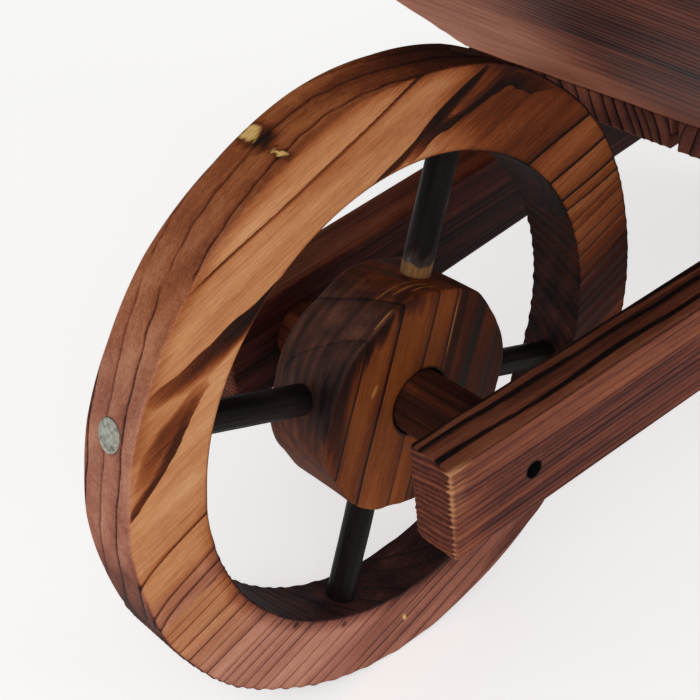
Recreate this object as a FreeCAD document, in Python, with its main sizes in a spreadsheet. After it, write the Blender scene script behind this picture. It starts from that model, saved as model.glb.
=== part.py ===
"""Wheelbarrow planter in charred, brushed softwood.

A splayed plant tray stands on two rails that toe out and rise towards the handles. In front, a ring
wheel with four dowel spokes turns on a fixed axle dowel, and two bolted legs carry the rear.

Millimetres and degrees. +X points to the handles, +Y to the right rail and +Z up. The origin is on the
ground, under the middle of the barrow.
"""
import FreeCAD, Part
import os
import re
import Sketcher

doc = FreeCAD.newDocument("wheelbarrow_planter")
sheet = doc.addObject("Spreadsheet::Sheet", "Sizes")

# Driving dimensions, one to a cell.
SIZES = {
    # wheel
    "wheel_radius": 150, "rim_width": 38, "rim_thickness": 31, "rim_edge": 1.5,
    "hub_across": 106, "hub_thickness": 40, "hub_corner": 30, "hub_edge": 5,
    "spoke_diameter": 14, "spoke_socket": 20, "spoke_inset": 0.2, "spoke_angle": 15.5, "spoke_fit": 0.1,
    # axle
    "axle_diameter": 30, "axle_play": 0.5, "axle_socket": 8, "axle_chamfer": 1, "axle_drop": 2.3,
    # rails, with the handle grips at their rear ends
    "rail_height": 50, "rail_width": 25, "rail_edge": 3, "rail_gap": 122.5, "rail_front": 44,
    "rail_reach": 915, "slope": 7.66, "toe": 2.75,
    "grip_length": 125, "grip_taper": 70, "grip_height": 34, "grip_edge": 10, "grip_end": 8,
    # tray
    "floor_length": 380, "floor_width": 290, "floor_thickness": 18, "floor_joint": 3, "board_edge": 1.5,
    "wall_thickness": 18, "wall_height": 150, "wheel_clearance": 25,
    "front_lean": 45, "rear_lean": 20, "side_lean": 20,
    "cleat_width": 26, "cleat_shy": 12,
    # legs
    "leg_place": 530, "leg_width": 50, "leg_thickness": 25, "leg_rake": 8, "leg_shy": 1, "leg_edge": 2,
    "crossbar_width": 22, "crossbar_height": 45, "crossbar_drop": 85,
    # fasteners
    "screw_shank": 4.5, "screw_head": 7.4, "screw_head_height": 2.5, "screw_sink": 10, "screw_grip": 30,
    "screw_pitch": 22, "floor_screw_margin": 20, "fit": 0.2,
    "bolt_diameter": 6, "bolt_head": 16, "bolt_head_height": 4.5, "bolt_tail": 9, "bolt_pitch": 24,
    "nut_across": 10, "nut_height": 5, "washer_diameter": 16, "washer_thickness": 1.5,
}

# Sizes that follow from them, in the frame of the chassis: its origin on the axle, X up along the rails.
DERIVED = {
    "axle_x": "(wheel_radius - rail_reach * cos(toe) * cos(slope)) / 2",
    "spoke_start": "hub_across / 2 - spoke_socket + fit",
    "rail_top": "axle_drop + rail_height / 2",
    "rail_bottom": "axle_drop - rail_height / 2",
    "grip_start": "rail_reach - grip_length",
    "bar_end": "grip_start - grip_taper",
    "screw_seat": "rail_width / cos(toe) - screw_sink",
    "floor_top": "rail_top + floor_thickness",
    "wall_top": "floor_top + wall_height",
    "tray_front": "(wheel_radius + wheel_clearance - floor_top * sin(front_lean)) / cos(front_lean)",
    "tray_rear": "tray_front + floor_length",
    "front_level": "wall_thickness / cos(front_lean)",
    "rear_level": "wall_thickness / cos(rear_lean)",
    "side_level": "wall_thickness / cos(side_lean)",
    "front_splay": "wall_height * tan(front_lean)",
    "rear_splay": "wall_height * tan(rear_lean)",
    "side_splay": "wall_height * tan(side_lean)",
    "ground_front": "0 - wheel_radius / cos(slope)",
    "ground_rear": "0 - wheel_radius / cos(slope) - rail_reach * tan(slope)",
    "crossbar_level": "rail_bottom - crossbar_drop",
    "crossbar_place": "leg_place + (axle_drop - crossbar_level) * tan(leg_rake)",
    "leg_face": "rail_gap / 2 + rail_width / cos(toe)",
    "leg_seat": "rail_width / cos(toe) + crossbar_place * tan(toe) + leg_thickness / cos(toe) - screw_sink",
    "bolt_dome": "(bolt_head ^ 2 / 4 + bolt_head_height ^ 2) / (2 * bolt_head_height)",
}

cells = {name: str(size) for name, size in SIZES.items()}
cells.update({name: f"={rule}" for name, rule in DERIVED.items()})
for row, (name, content) in enumerate(cells.items(), 1):
    sheet.set(f"A{row}", name)
    sheet.set(f"B{row}", content)
    sheet.setAlias(f"B{row}", name)
doc.recompute()

SIDES = {"left": -1, "right": 1}
HUB_SIDES = 8
QUARTER_TURN = 90
OVERCUT = 5     # how far a cutting outline runs past the wood
nodes = []


def value(expression):
    """The number that an expression in sheet names has now."""
    return float(sheet.evalExpression(expression))


def bind(thing, name, expression):
    """Ties a property to the sheet, with every size written as a cell of it."""
    words = r"\b(" + "|".join(cells) + r")\b"
    thing.setExpression(name, re.sub(words, r"Sizes.\1", expression))


def moved(x="0", y="0", z="0"):
    return f"placement(vector({x}; {y}; {z}); rotation(vector(0; 0; 1); 0))"


def turned(axis, angle):
    return f"placement(vector(0; 0; 0); rotation(vector({axis}); {angle}))"


ABOUT_X, ABOUT_Y, ABOUT_Z = "1; 0; 0", "0; 1; 0", "0; 0; 1"
AXLE = moved("axle_x", "0", "wheel_radius")
WHEEL = f"{AXLE} * {turned(ABOUT_Y, 'spoke_angle')}"
CHASSIS = f"{AXLE} * {turned(ABOUT_Y, '0 - slope')}"


def rail_frame(side):
    """The frame of a rail: X along it, its origin where the axle's axis meets its inner face."""
    return f"{CHASSIS} * {moved(y=f'{side} * rail_gap / 2')} * {turned(ABOUT_Z, f'{side} * toe')}"


def outward(side):
    """Turns Z to point out of the barrow on one side."""
    return turned(ABOUT_X, -side * QUARTER_TURN)


def node(kind, label, place):
    """A sub-part that is written to its own file."""
    piece = doc.addObject(kind, label)
    piece.Label = label
    bind(piece, "Placement", place)
    nodes.append(piece)
    return piece


def body(label, place):
    return node("PartDesign::Body", label, place)


def origin_part(owner, role):
    return next(feature for feature in owner.Origin.OriginFeatures if feature.Role == role)


def sketch_on(owner, role, lift="0", turn="0"):
    """A sketch on an origin plane, turned about its own upright and then lifted along its normal."""
    sketch = owner.newObject("Sketcher::SketchObject", f"{owner.Name}_sketch")
    sketch.AttachmentSupport = [(origin_part(owner, role), "")]
    sketch.MapMode = "FlatFace"
    bind(sketch, "AttachmentOffset", f"{turned(ABOUT_Y, turn)} * {moved(z=lift)}")
    return sketch


def hold(sketch, edge, end, x, y):
    """Holds one point of a sketch at sheet values from the sketch's origin."""
    for kind, expression in (("DistanceX", x), ("DistanceY", y)):
        index = sketch.addConstraint(Sketcher.Constraint(kind, -1, 1, edge, end, value(expression)))
        bind(sketch, f"Constraints[{index}]", expression)


def polygon(sketch, corners):
    """A closed outline of straight lines through corners given as pairs of expressions."""
    points = [FreeCAD.Vector(value(x), value(y), 0) for x, y in corners]
    first = sketch.GeometryCount
    edges = [first + i for i in range(len(points))]
    for i, point in enumerate(points):
        sketch.addGeometry(Part.LineSegment(point, points[(i + 1) % len(points)]), False)
    for edge, following in zip(edges, edges[1:] + edges[:1]):
        sketch.addConstraint(Sketcher.Constraint("Coincident", edge, 2, following, 1))
    for edge, (x, y) in zip(edges, corners):
        hold(sketch, edge, 1, x, y)


def circle(sketch, x, y, radius):
    centre = FreeCAD.Vector(value(x), value(y), 0)
    index = sketch.addGeometry(Part.Circle(centre, FreeCAD.Vector(0, 0, 1), value(radius)), False)
    hold(sketch, index, 3, x, y)
    held = sketch.addConstraint(Sketcher.Constraint("Radius", index, value(radius)))
    bind(sketch, f"Constraints[{held}]", radius)


def rounded_box(sketch, left, bottom, right, top, corner):
    """A rectangle with round corners, from the expressions of its sides and its corner radius."""
    west, south, east, north, radius = (value(side) for side in (left, bottom, right, top, corner))
    upright = FreeCAD.Vector(0, 0, 1)
    ends = [(west + radius, south), (east - radius, south), (east, south + radius), (east, north - radius),
            (east - radius, north), (west + radius, north), (west, north - radius), (west, south + radius)]
    centres = [(east - radius, south + radius), (east - radius, north - radius),
               (west + radius, north - radius), (west + radius, south + radius)]
    for i, centre in enumerate(centres):
        start, stop = (FreeCAD.Vector(*end, 0) for end in ends[2 * i:2 * i + 2])
        sketch.addGeometry(Part.LineSegment(start, stop), False)
        round_corner = Part.Circle(FreeCAD.Vector(*centre, 0), upright, radius)
        begin = FreeCAD.Units.Quantity(f"{(i - 1) * QUARTER_TURN} deg").getValueAs("rad").Value
        finish = FreeCAD.Units.Quantity(f"{i * QUARTER_TURN} deg").getValueAs("rad").Value
        sketch.addGeometry(Part.ArcOfCircle(round_corner, begin, finish), False)
    count = 2 * len(centres)
    for i in range(count):
        sketch.addConstraint(Sketcher.Constraint("Tangent", i, 2, (i + 1) % count, 1))
    for i in range(0, count, 2):
        sketch.addConstraint(Sketcher.Constraint(("Horizontal", "Vertical")[i // 2 % 2], i))
    for i in range(3, count, 2):
        sketch.addConstraint(Sketcher.Constraint("Equal", 1, i))
    sides = [("DistanceY", 0, bottom), ("DistanceX", 2, right), ("DistanceY", 4, top), ("DistanceX", 6, left)]
    for kind, line, expression in sides:
        index = sketch.addConstraint(Sketcher.Constraint(kind, -1, 1, line, 1, value(expression)))
        bind(sketch, f"Constraints[{index}]", expression)
    held = sketch.addConstraint(Sketcher.Constraint("Radius", 1, radius))
    bind(sketch, f"Constraints[{held}]", corner)


def pad(owner, sketch, length, symmetric=False, reverse=False):
    feature = owner.newObject("PartDesign::Pad", f"{owner.Name}_pad")
    feature.Profile = sketch
    feature.SideType = "Symmetric" if symmetric else "One side"
    feature.Reversed = reverse
    bind(feature, "Length", length)
    doc.recompute()
    return feature


def cut(owner, sketch, depth=None, reverse=False, symmetric=False):
    """Takes the sketch's outline out of the body, right through unless it has a depth."""
    before = owner.Shape.Volume
    feature = owner.newObject("PartDesign::Pocket", f"{owner.Name}_cut")
    feature.Profile = sketch
    feature.SideType = "Symmetric" if symmetric else "One side"
    feature.Reversed = reverse
    if depth is None:
        feature.Type = "ThroughAll"
    else:
        bind(feature, "Length", depth)
    doc.recompute()
    if owner.Shape.Volume >= before:
        raise RuntimeError(f"a cut in {owner.Label} takes nothing away")
    return feature


def loft(owner, first, last):
    """Straight sides from one sketch to another."""
    feature = owner.newObject("PartDesign::AdditiveLoft", f"{owner.Name}_loft")
    feature.Profile = first
    feature.Sections = [last]
    feature.Ruled = True
    doc.recompute()


def pattern(owner, feature, count, sweep):
    """Repeats a feature about the body's Y axis."""
    repeat = owner.newObject("PartDesign::PolarPattern", f"{owner.Name}_pattern")
    repeat.Originals = [feature]
    repeat.Axis = (origin_part(owner, "Y_Axis"), [""])
    repeat.Angle = sweep
    repeat.Occurrences = count
    owner.Tip = repeat
    doc.recompute()


def mirrored(owner, feature):
    """Repeats a feature on the other side of the barrow's middle plane."""
    repeat = owner.newObject("PartDesign::Mirrored", f"{owner.Name}_mirrored")
    repeat.Originals = [feature]
    repeat.MirrorPlane = (origin_part(owner, "XZ_Plane"), [""])
    owner.Tip = repeat
    doc.recompute()


def dress(owner, kind, prop, size, chosen=lambda edge: True):
    """Rounds or chamfers the chosen edges of the body."""
    base = owner.Tip
    names = [f"Edge{i}" for i, edge in enumerate(base.Shape.Edges, 1) if chosen(edge)]
    feature = owner.newObject(kind, f"{owner.Name}_edges")
    feature.Base = (base, names)
    bind(feature, prop, size)
    doc.recompute()


def round_edges(owner, size, chosen=lambda edge: True):
    dress(owner, "PartDesign::Fillet", "Radius", size, chosen)


def ease_edges(owner, size, chosen=lambda edge: True):
    dress(owner, "PartDesign::Chamfer", "Size", size, chosen)


def runs_along(axis):
    """Picks the straight edges that run along one axis of the body."""
    def picked(edge):
        return isinstance(edge.Curve, Part.Line) and edge.Curve.Direction.cross(axis).Length < 1e-6
    return picked


def at_station(x):
    """Picks the edges that lie in the plane across the body's X axis at x."""
    station = value(x)
    return lambda edge: max(abs(vertex.X - station) for vertex in edge.Vertexes) < 1e-6


ALONG_Y = FreeCAD.Vector(0, 1, 0)

# Wheel rim: a ring with eased edges and a through hole for each spoke.
rim = body("wheel_rim", WHEEL)
ring = sketch_on(rim, "XZ_Plane")
circle(ring, "0", "0", "wheel_radius")
circle(ring, "0", "0", "wheel_radius - rim_width")
pad(rim, ring, "rim_thickness", symmetric=True)
ease_edges(rim, "rim_edge", lambda edge: isinstance(edge.Curve, Part.Circle))
drill = sketch_on(rim, "XY_Plane")
circle(drill, "0", "0", "spoke_diameter / 2 + spoke_fit")
spoke_holes = cut(rim, drill, symmetric=True)
pattern(rim, spoke_holes, 2, QUARTER_TURN)

# Wheel hub: a hand-cut octagon with full round corners, bored for the axle and drilled for the spokes.
hub = body("wheel_hub", WHEEL)
octagon = sketch_on(hub, "XZ_Plane")
half_side = 360 / HUB_SIDES / 2
reach = f"hub_across / 2 / cos({half_side})"
bearings = [half_side * (2 * i + 1) for i in range(HUB_SIDES)]
polygon(octagon, [(f"{reach} * cos({bearing})", f"{reach} * sin({bearing})") for bearing in bearings])
pad(hub, octagon, "hub_thickness", symmetric=True)
round_edges(hub, "hub_corner", runs_along(ALONG_Y))
round_edges(hub, "hub_edge", lambda edge: not runs_along(ALONG_Y)(edge))
bore = sketch_on(hub, "XZ_Plane")
circle(bore, "0", "0", "axle_diameter / 2 + axle_play")
cut(hub, bore, symmetric=True)
socket = sketch_on(hub, "XY_Plane", lift="hub_across / 2 - spoke_socket")
circle(socket, "0", "0", "spoke_diameter / 2 + spoke_fit")
spoke_sockets = cut(hub, socket, reverse=True)
pattern(hub, spoke_sockets, 4, 360)

# Spokes: four dowels from the hub's sockets to the tread.
for number, name in enumerate(("upper", "rear", "lower", "front")):
    heading = turned(ABOUT_Y, number * QUARTER_TURN)
    spoke = node("Part::Cylinder", f"spoke_{name}", f"{WHEEL} * {heading} * {moved(z='spoke_start')}")
    bind(spoke, "Radius", "spoke_diameter / 2")
    bind(spoke, "Height", "wheel_radius - spoke_inset - spoke_start")

# Axle: a dowel let into both rails, with a pilot hole for the screw in each end.
axle = body("axle", AXLE)
dowel = sketch_on(axle, "XZ_Plane")
circle(dowel, "0", "0", "axle_diameter / 2")
pad(axle, dowel, "rail_gap + 2 * axle_socket - 2 * fit", symmetric=True)
ease_edges(axle, "axle_chamfer", lambda edge: isinstance(edge.Curve, Part.Circle))
pilot = sketch_on(axle, "XZ_Plane", lift="rail_gap / 2 + axle_socket")
circle(pilot, "0", "0", "screw_shank / 2 + fit")
mirrored(axle, cut(axle, pilot, depth="screw_grip"))

# Where the bolts cross a leg and its rail, along the leg, and where the screws enter the rails.
BOLT_LEVELS = [f"axle_drop {sign} bolt_pitch / 2" for sign in "-+"]
BOLTS = [(f"leg_place - ({level} - axle_drop) * tan(leg_rake)", level) for level in BOLT_LEVELS]
CROSS_SCREWS = [f"crossbar_level {sign} screw_pitch / 2" for sign in "-+"]
FLOOR_SCREWS = ["(tray_front + front_level + cleat_width + floor_screw_margin)",
                "(tray_front + floor_length / 2)",
                "(tray_rear - rear_level - cleat_width - floor_screw_margin)"]


def screw_hole(owner, side, places, seat):
    """Drills screw holes square to the barrow's middle plane, counterbored down to the heads' seat."""
    shaft = sketch_on(owner, "XZ_Plane", turn=f"{-side} * toe")
    recess = sketch_on(owner, "XZ_Plane", lift=f"{-side} * ({seat})", turn=f"{-side} * toe")
    for x, y in places:
        circle(shaft, x, y, "screw_shank / 2 + fit")
        circle(recess, x, y, "screw_head / 2 + fit")
    cut(owner, shaft, symmetric=True)
    cut(owner, recess, reverse=side < 0)


def bolt_holes(owner):
    holes = sketch_on(owner, "XZ_Plane")
    for x, y in BOLTS:
        circle(holes, x, y, "bolt_diameter / 2 + fit")
    cut(owner, holes, symmetric=True)


def rail_section(owner, side, station, height, corner):
    """The section of a rail at one station, its outer face on the side away from the wheel."""
    section = sketch_on(owner, "YZ_Plane", lift=station)
    west, east = sorted(("0", f"{side} * rail_width"), key=value)
    rounded_box(section, west, f"axle_drop - {height} / 2", east, f"axle_drop + {height} / 2", corner)
    return section


for name, side in SIDES.items():
    # Rail: a bar with round edges, drawn in by a loft to the handle grip at its rear end.
    rail = body(f"rail_{name}", rail_frame(side))
    bar = ("rail_height", "rail_edge")
    grip = ("grip_height", "grip_edge")
    pad(rail, rail_section(rail, side, "0 - rail_front", *bar), "rail_front + bar_end")
    loft(rail, rail_section(rail, side, "bar_end", *bar), rail_section(rail, side, "grip_start", *grip))
    pad(rail, rail_section(rail, side, "grip_start", *grip), "grip_length")
    round_edges(rail, "rail_edge - fit", at_station("0 - rail_front"))
    round_edges(rail, "grip_end", at_station("rail_reach"))

    socket = sketch_on(rail, "XZ_Plane", lift=f"{side} * {OVERCUT}", turn=f"{-side} * toe")
    circle(socket, "0", "0", "axle_diameter / 2 + fit")
    cut(rail, socket, depth=f"axle_socket + {OVERCUT}", reverse=side < 0)
    screw_hole(rail, side, [("0", "0")], "screw_seat")
    bolt_holes(rail)
    pilots = sketch_on(rail, "XY_Plane", lift="rail_top")
    for station in FLOOR_SCREWS:
        circle(pilots, station, f"{side} * rail_width / 2", "screw_shank / 2 + fit")
    cut(rail, pilots, depth="screw_grip + fit - floor_thickness")

    # Leg: a raked board on the rail's outer face, sawn level at the ground.
    leg = body(f"leg_{name}", rail_frame(side))
    outline = sketch_on(leg, "XZ_Plane", lift=f"{-side} * rail_width")
    levels = {"top": "rail_top - leg_shy", "foot": f"ground_rear - {OVERCUT}"}
    middle = {end: f"leg_place - ({level} - axle_drop) * tan(leg_rake)" for end, level in levels.items()}
    half = "leg_width / 2 / cos(leg_rake)"
    corners = (("foot", "-"), ("foot", "+"), ("top", "+"), ("top", "-"))
    polygon(outline, [(f"{middle[end]} {sign} {half}", levels[end]) for end, sign in corners])
    pad(leg, outline, "leg_thickness", reverse=side > 0)
    ease_edges(leg, "leg_edge")
    ground = sketch_on(leg, "XZ_Plane", turn=f"{-side} * toe")
    polygon(ground, [("0", "ground_front"), ("rail_reach", "ground_rear"),
                     ("rail_reach", "2 * ground_rear"), ("0", "2 * ground_rear")])
    cut(leg, ground, symmetric=True)
    bolt_holes(leg)
    screw_hole(leg, side, [("crossbar_place", level) for level in CROSS_SCREWS], "leg_seat")

    # Floor board: one of two, flush with the walls outside, with a drainage joint between them.
    floor = body(f"floor_board_{name}", CHASSIS)
    outline = sketch_on(floor, "XY_Plane", lift="rail_top")
    near, far = f"{side} * floor_joint / 2", f"{side} * floor_width / 2"
    polygon(outline, [("tray_front", near), ("tray_rear", near), ("tray_rear", far), ("tray_front", far)])
    pad(floor, outline, "floor_thickness")
    ease_edges(floor, "board_edge")
    holes = sketch_on(floor, "XY_Plane", lift="rail_top")
    for station in FLOOR_SCREWS:
        along = f"{station} * cos(toe) - rail_width / 2 * sin(toe)"
        across = f"{side} * (rail_gap / 2 + {station} * sin(toe) + rail_width / 2 * cos(toe))"
        circle(holes, along, across, "screw_shank / 2 + fit")
    cut(floor, holes, symmetric=True)

# Crossbar: between the legs, with its ends cut to their toe.
crossbar = body("leg_crossbar", CHASSIS)
outline = sketch_on(crossbar, "XY_Plane", lift="crossbar_level - crossbar_height / 2")
edges = [f"crossbar_place {sign} crossbar_width / 2" for sign in "-+"]
halves = [f"(leg_face + ({edge}) * tan(toe))" for edge in edges]
corners = [(edge, f"{side} * {half}") for edge, half in zip(edges, halves) for side in SIDES.values()]
polygon(outline, [corners[0], corners[2], corners[3], corners[1]])
pad(crossbar, outline, "crossbar_height")
ease_edges(crossbar, "board_edge", runs_along(ALONG_Y))
pilots = sketch_on(crossbar, "XZ_Plane", lift=f"leg_face + crossbar_place * tan(toe) + {OVERCUT}")
for level in CROSS_SCREWS:
    circle(pilots, "crossbar_place", level, "screw_shank / 2 + fit")
mirrored(crossbar, cut(crossbar, pilots, depth=f"screw_grip + {OVERCUT}"))


def end_wall(label, foot, level, splay):
    """A wall across the tray: its foot on the floor's end, its ends sawn to the slope of the side walls."""
    wall = body(label, CHASSIS)
    profile = sketch_on(wall, "XZ_Plane")
    polygon(profile, [(foot, "floor_top"), (f"{foot} + {level}", "floor_top"),
                      (f"{foot} + {level} + {splay}", "wall_top"), (f"{foot} + {splay}", "wall_top")])
    pad(wall, profile, "floor_width + 2 * side_splay", symmetric=True)
    ends = sketch_on(wall, "YZ_Plane")
    for side in SIDES.values():
        outside = f"{side} * (floor_width / 2 + side_splay + {OVERCUT})"
        polygon(ends, [(f"{side} * floor_width / 2", "floor_top"), (outside, "floor_top"),
                       (outside, "wall_top"), (f"{side} * (floor_width / 2 + side_splay)", "wall_top")])
    cut(wall, ends, symmetric=True)
    ease_edges(wall, "board_edge")


def side_wall(label, side):
    """A wall along the tray, sawn at both ends to the slope of the front and rear walls."""
    wall = body(label, CHASSIS)
    profile = sketch_on(wall, "YZ_Plane", lift="tray_front - front_splay")
    foot = "floor_width / 2"
    polygon(profile, [(f"{side} * {foot}", "floor_top"), (f"{side} * ({foot} - side_level)", "floor_top"),
                      (f"{side} * ({foot} - side_level + side_splay)", "wall_top"),
                      (f"{side} * ({foot} + side_splay)", "wall_top")])
    pad(wall, profile, "floor_length + front_splay + rear_splay")
    ends = sketch_on(wall, "XZ_Plane")
    saw_cuts = (("tray_front + front_level", "0 - front_splay", f"tray_front - front_splay - {OVERCUT}"),
                ("tray_rear - rear_level", "rear_splay", f"tray_rear + rear_splay + {OVERCUT}"))
    for inside, splay, beyond in saw_cuts:
        polygon(ends, [(inside, "floor_top"), (f"{inside} + {splay}", "wall_top"),
                       (beyond, "wall_top"), (beyond, "floor_top")])
    cut(wall, ends, symmetric=True)
    ease_edges(wall, "board_edge")


def corner_cleat(label, corner, splay, inward, side):
    """A square batten up an inside corner of the tray, drawn between its outlines at foot and top."""
    cleat = body(label, CHASSIS)
    sections = []
    for level in ("floor_top", "wall_top - cleat_shy"):
        rise = f"({level} - floor_top) / wall_height"
        along = f"{corner} + {splay} * {rise}"
        across = f"floor_width / 2 - side_level + side_splay * {rise}"
        outer, inner = f"{side} * ({across})", f"{side} * ({across} - cleat_width)"
        within = f"{along} {inward} cleat_width"
        section = sketch_on(cleat, "XY_Plane", lift=level)
        polygon(section, [(along, outer), (within, outer), (within, inner), (along, inner)])
        sections.append(section)
    loft(cleat, *sections)


end_wall("front_wall", "tray_front", "front_level", "0 - front_splay")
end_wall("rear_wall", "tray_rear", "0 - rear_level", "rear_splay")
for name, side in SIDES.items():
    side_wall(f"side_wall_{name}", side)
    corner_cleat(f"corner_cleat_front_{name}", "tray_front + front_level", "(0 - front_splay)", "+", side)
    corner_cleat(f"corner_cleat_rear_{name}", "tray_rear - rear_level", "rear_splay", "-", side)


def solid(kind, place, **sizes):
    """A plain solid of a fastener, whose sizes and place come from the sheet."""
    shape = doc.addObject(kind, "fastener_solid")
    for name, expression in sizes.items():
        bind(shape, name, expression)
    bind(shape, "Placement", place)
    return shape


def joined(*shapes):
    fused = doc.addObject("Part::MultiFuse", "fastener")
    fused.Shapes = shapes
    return fused


def group(label, members):
    """Identical fasteners in one node, a solid to each."""
    compound = doc.addObject("Part::Compound", label)
    compound.Label = label
    compound.Links = members
    nodes.append(compound)


def screw(place):
    """A pan-head screw, its head seated at Z = 0."""
    head = solid("Part::Cylinder", place, Radius="screw_head / 2", Height="screw_head_height")
    tip = f"{place} * {moved(z='fit - screw_grip')}"
    shank = solid("Part::Cylinder", tip, Radius="screw_shank / 2", Height="screw_grip - fit")
    return joined(head, shank)


def bolt(place):
    """A round-head bolt through a leg and its rail, its head seated at Z = 0."""
    length = "rail_width + leg_thickness + bolt_tail"
    dome = solid("Part::Sphere", f"{place} * {moved(z='bolt_head_height - bolt_dome')}",
                 Radius="bolt_dome", Angle1="asin((bolt_dome - bolt_head_height) / bolt_dome)")
    tip = f"{place} * {moved(z=f'0 - ({length})')}"
    shank = solid("Part::Cylinder", tip, Radius="bolt_diameter / 2", Height=length)
    return joined(dome, shank)


def nut(place):
    """A hexagon nut on its washer, seated at Z = 0 and bored for the bolt."""
    washer = solid("Part::Cylinder", place, Radius="washer_diameter / 2", Height="washer_thickness")
    hexagon = solid("Part::Prism", f"{place} * {moved(z='washer_thickness')}",
                    Circumradius="nut_across / 2 / cos(30)", Height="nut_height")
    hole = solid("Part::Cylinder", place, Radius="bolt_diameter / 2 + fit",
                 Height="washer_thickness + nut_height")
    bored = doc.addObject("Part::Cut", "fastener")
    bored.Base = joined(washer, hexagon)
    bored.Tool = hole
    return bored


axle_screws, cross_screws, floor_screws, leg_bolts, leg_nuts = [], [], [], [], []
for side in SIDES.values():
    seat = f"{side} * (rail_gap / 2 + screw_seat)"
    axle_screws.append(screw(f"{AXLE} * {moved(y=seat)} * {outward(side)}"))
    seat = f"{side} * (rail_gap / 2 + leg_seat)"
    for level in CROSS_SCREWS:
        cross_screws.append(screw(f"{CHASSIS} * {moved('crossbar_place', seat, level)} * {outward(side)}"))
    for station in FLOOR_SCREWS:
        middle = moved(station, f"{side} * rail_width / 2", "floor_top")
        floor_screws.append(screw(f"{rail_frame(side)} * {middle}"))
    face = f"{side} * (rail_width + leg_thickness)"
    for x, y in BOLTS:
        leg_bolts.append(bolt(f"{rail_frame(side)} * {moved(x, face, y)} * {outward(side)}"))
        leg_nuts.append(nut(f"{rail_frame(side)} * {moved(x, '0', y)} * {outward(-side)}"))
group("axle_screws", axle_screws)
group("crossbar_screws", cross_screws)
group("floor_screws", floor_screws)
group("leg_bolts", leg_bolts)
group("leg_nuts", leg_nuts)

doc.recompute()
failed = [thing.Label for thing in doc.Objects if {"Invalid", "Error"} & set(thing.State)]
empty = [piece.Label for piece in nodes if piece.Shape.isNull() or not piece.Shape.isValid()]
if failed or empty:
    raise RuntimeError(f"not built: {failed + empty}")

os.makedirs("parts", exist_ok=True)
for piece in nodes:
    piece.Shape.exportStep(f"parts/{piece.Label}.step")
    print(piece.Label, len(piece.Shape.Solids), "solid(s)", round(piece.Shape.Volume / 1000, 1), "cm3")
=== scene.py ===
import bpy
import numpy as np
from mathutils import Matrix, Quaternion, Vector


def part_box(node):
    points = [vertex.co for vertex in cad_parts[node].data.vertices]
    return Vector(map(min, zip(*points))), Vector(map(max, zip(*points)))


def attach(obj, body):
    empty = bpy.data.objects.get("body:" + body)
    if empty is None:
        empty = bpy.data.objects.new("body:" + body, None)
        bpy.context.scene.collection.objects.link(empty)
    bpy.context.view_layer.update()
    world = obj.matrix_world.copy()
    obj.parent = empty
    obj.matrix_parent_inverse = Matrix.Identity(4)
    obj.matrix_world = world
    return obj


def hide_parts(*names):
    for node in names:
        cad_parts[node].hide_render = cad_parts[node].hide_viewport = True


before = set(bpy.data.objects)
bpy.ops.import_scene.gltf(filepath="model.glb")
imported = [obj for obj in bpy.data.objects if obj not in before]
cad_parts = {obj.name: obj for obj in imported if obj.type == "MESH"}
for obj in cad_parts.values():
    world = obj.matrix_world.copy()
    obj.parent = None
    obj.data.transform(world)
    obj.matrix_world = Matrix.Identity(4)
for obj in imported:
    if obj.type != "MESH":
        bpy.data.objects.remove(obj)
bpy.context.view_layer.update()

# Wheel rim: a ring sawn from a panel of two softwood staves glued edge to edge, the upper one flat-sawn
# and the lower one close-ringed. It is torched and wire-brushed, so the hard late wood stands out as
# dark lines and the soft early wood between them is worn down.
MM = 0.001
rim_low, rim_high = (np.array(corner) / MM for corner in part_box("wheel_rim"))
WHEEL_CENTRE = (rim_low + rim_high) / 2
RIM_RADIUS = (rim_high[0] - rim_low[0]) / 2
RIM_INNER = 112.0
RIM_HALF = (rim_high[1] - rim_low[1]) / 2
RIM_EDGE = 1.3
RIM_RELIEF = 0.75
RIM_GRAIN = np.radians(24)
RIM_JOINT = 8.5
UPPER_PITH = (88.0, 150.0)
UPPER_RINGS = (98, 108, 118, 128, 138, 148.5, 159.5, 172, 177.8, 180.5, 183.2, 190, 197)
REAR_RINGS = (98, 108, 118, 128, 138, 148.5, 159.5, 169.4, 173.6, 178.9, 181.7, 190, 197)
LOWER_LINES = (9.5, 4.5, -0.5, -9.5, -17.5, -25.5, -32.5, -42, -45.5, -51.5, -59, -66, -72, -80, -87, -96,
               -104, -113, -119, -127, -136, -145, -153, -161, -169)
LOWER_FIRST_RING = 40
LOWER_TILT = np.radians(30)
SPOKE_BEARINGS = {"upper": 74.5, "front": 164.5, "lower": 254.5, "rear": 344.5}
SAWN_FLATS = ((0, 0.2), (17, 1.2), (38, 0.1), (57, 1.1), (74.5, 0.2), (90, 1.0), (106, 0.1), (122, 1.3),
              (139, 0), (152, 0.9), (164.5, 0.1), (173, 0.6), (181, 0), (193, 1.1), (204, 0.1), (213, 1.0),
              (224, 0.1), (238, 1.1), (254.5, 0.2), (270, 0), (288, 1.2), (307, 0.1), (326, 1.2),
              (344.5, 0.2), (360, 0.2))
RIM_STEPS, RIM_STEP = 780, 1.25
CHIP_BEARING = 115.5
DOWEL_RADIUS = 7.0
DOWEL_FIT = 0.25
HOLE_SINK = 4.0
YEARS = 400
MOST_RINGS_PER_MM = 3
PITCH_RANGE = (0.5, 60)
TORN_WOOD = "#a0662a"
FIBRE_SHARE, BRUSH_SHARE = 0.34, 0.07


def spread(length, step, edge):
    """Grid places along a length, with a few close together on the eased edge at each end."""
    middle = np.linspace(edge, length - edge, max(2, round((length - 2 * edge) / step) + 1))
    ends = np.linspace(0, edge, max(4, round(edge / step) + 1))
    return np.unique(np.round(np.concatenate([ends, middle, length - ends]), 5))


def ramp(value, start, end):
    """0 before start, 1 after end, and a smooth rise or fall between."""
    part = np.clip((value - start) / (end - start), 0, 1)
    return part * part * (3 - 2 * part)


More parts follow.
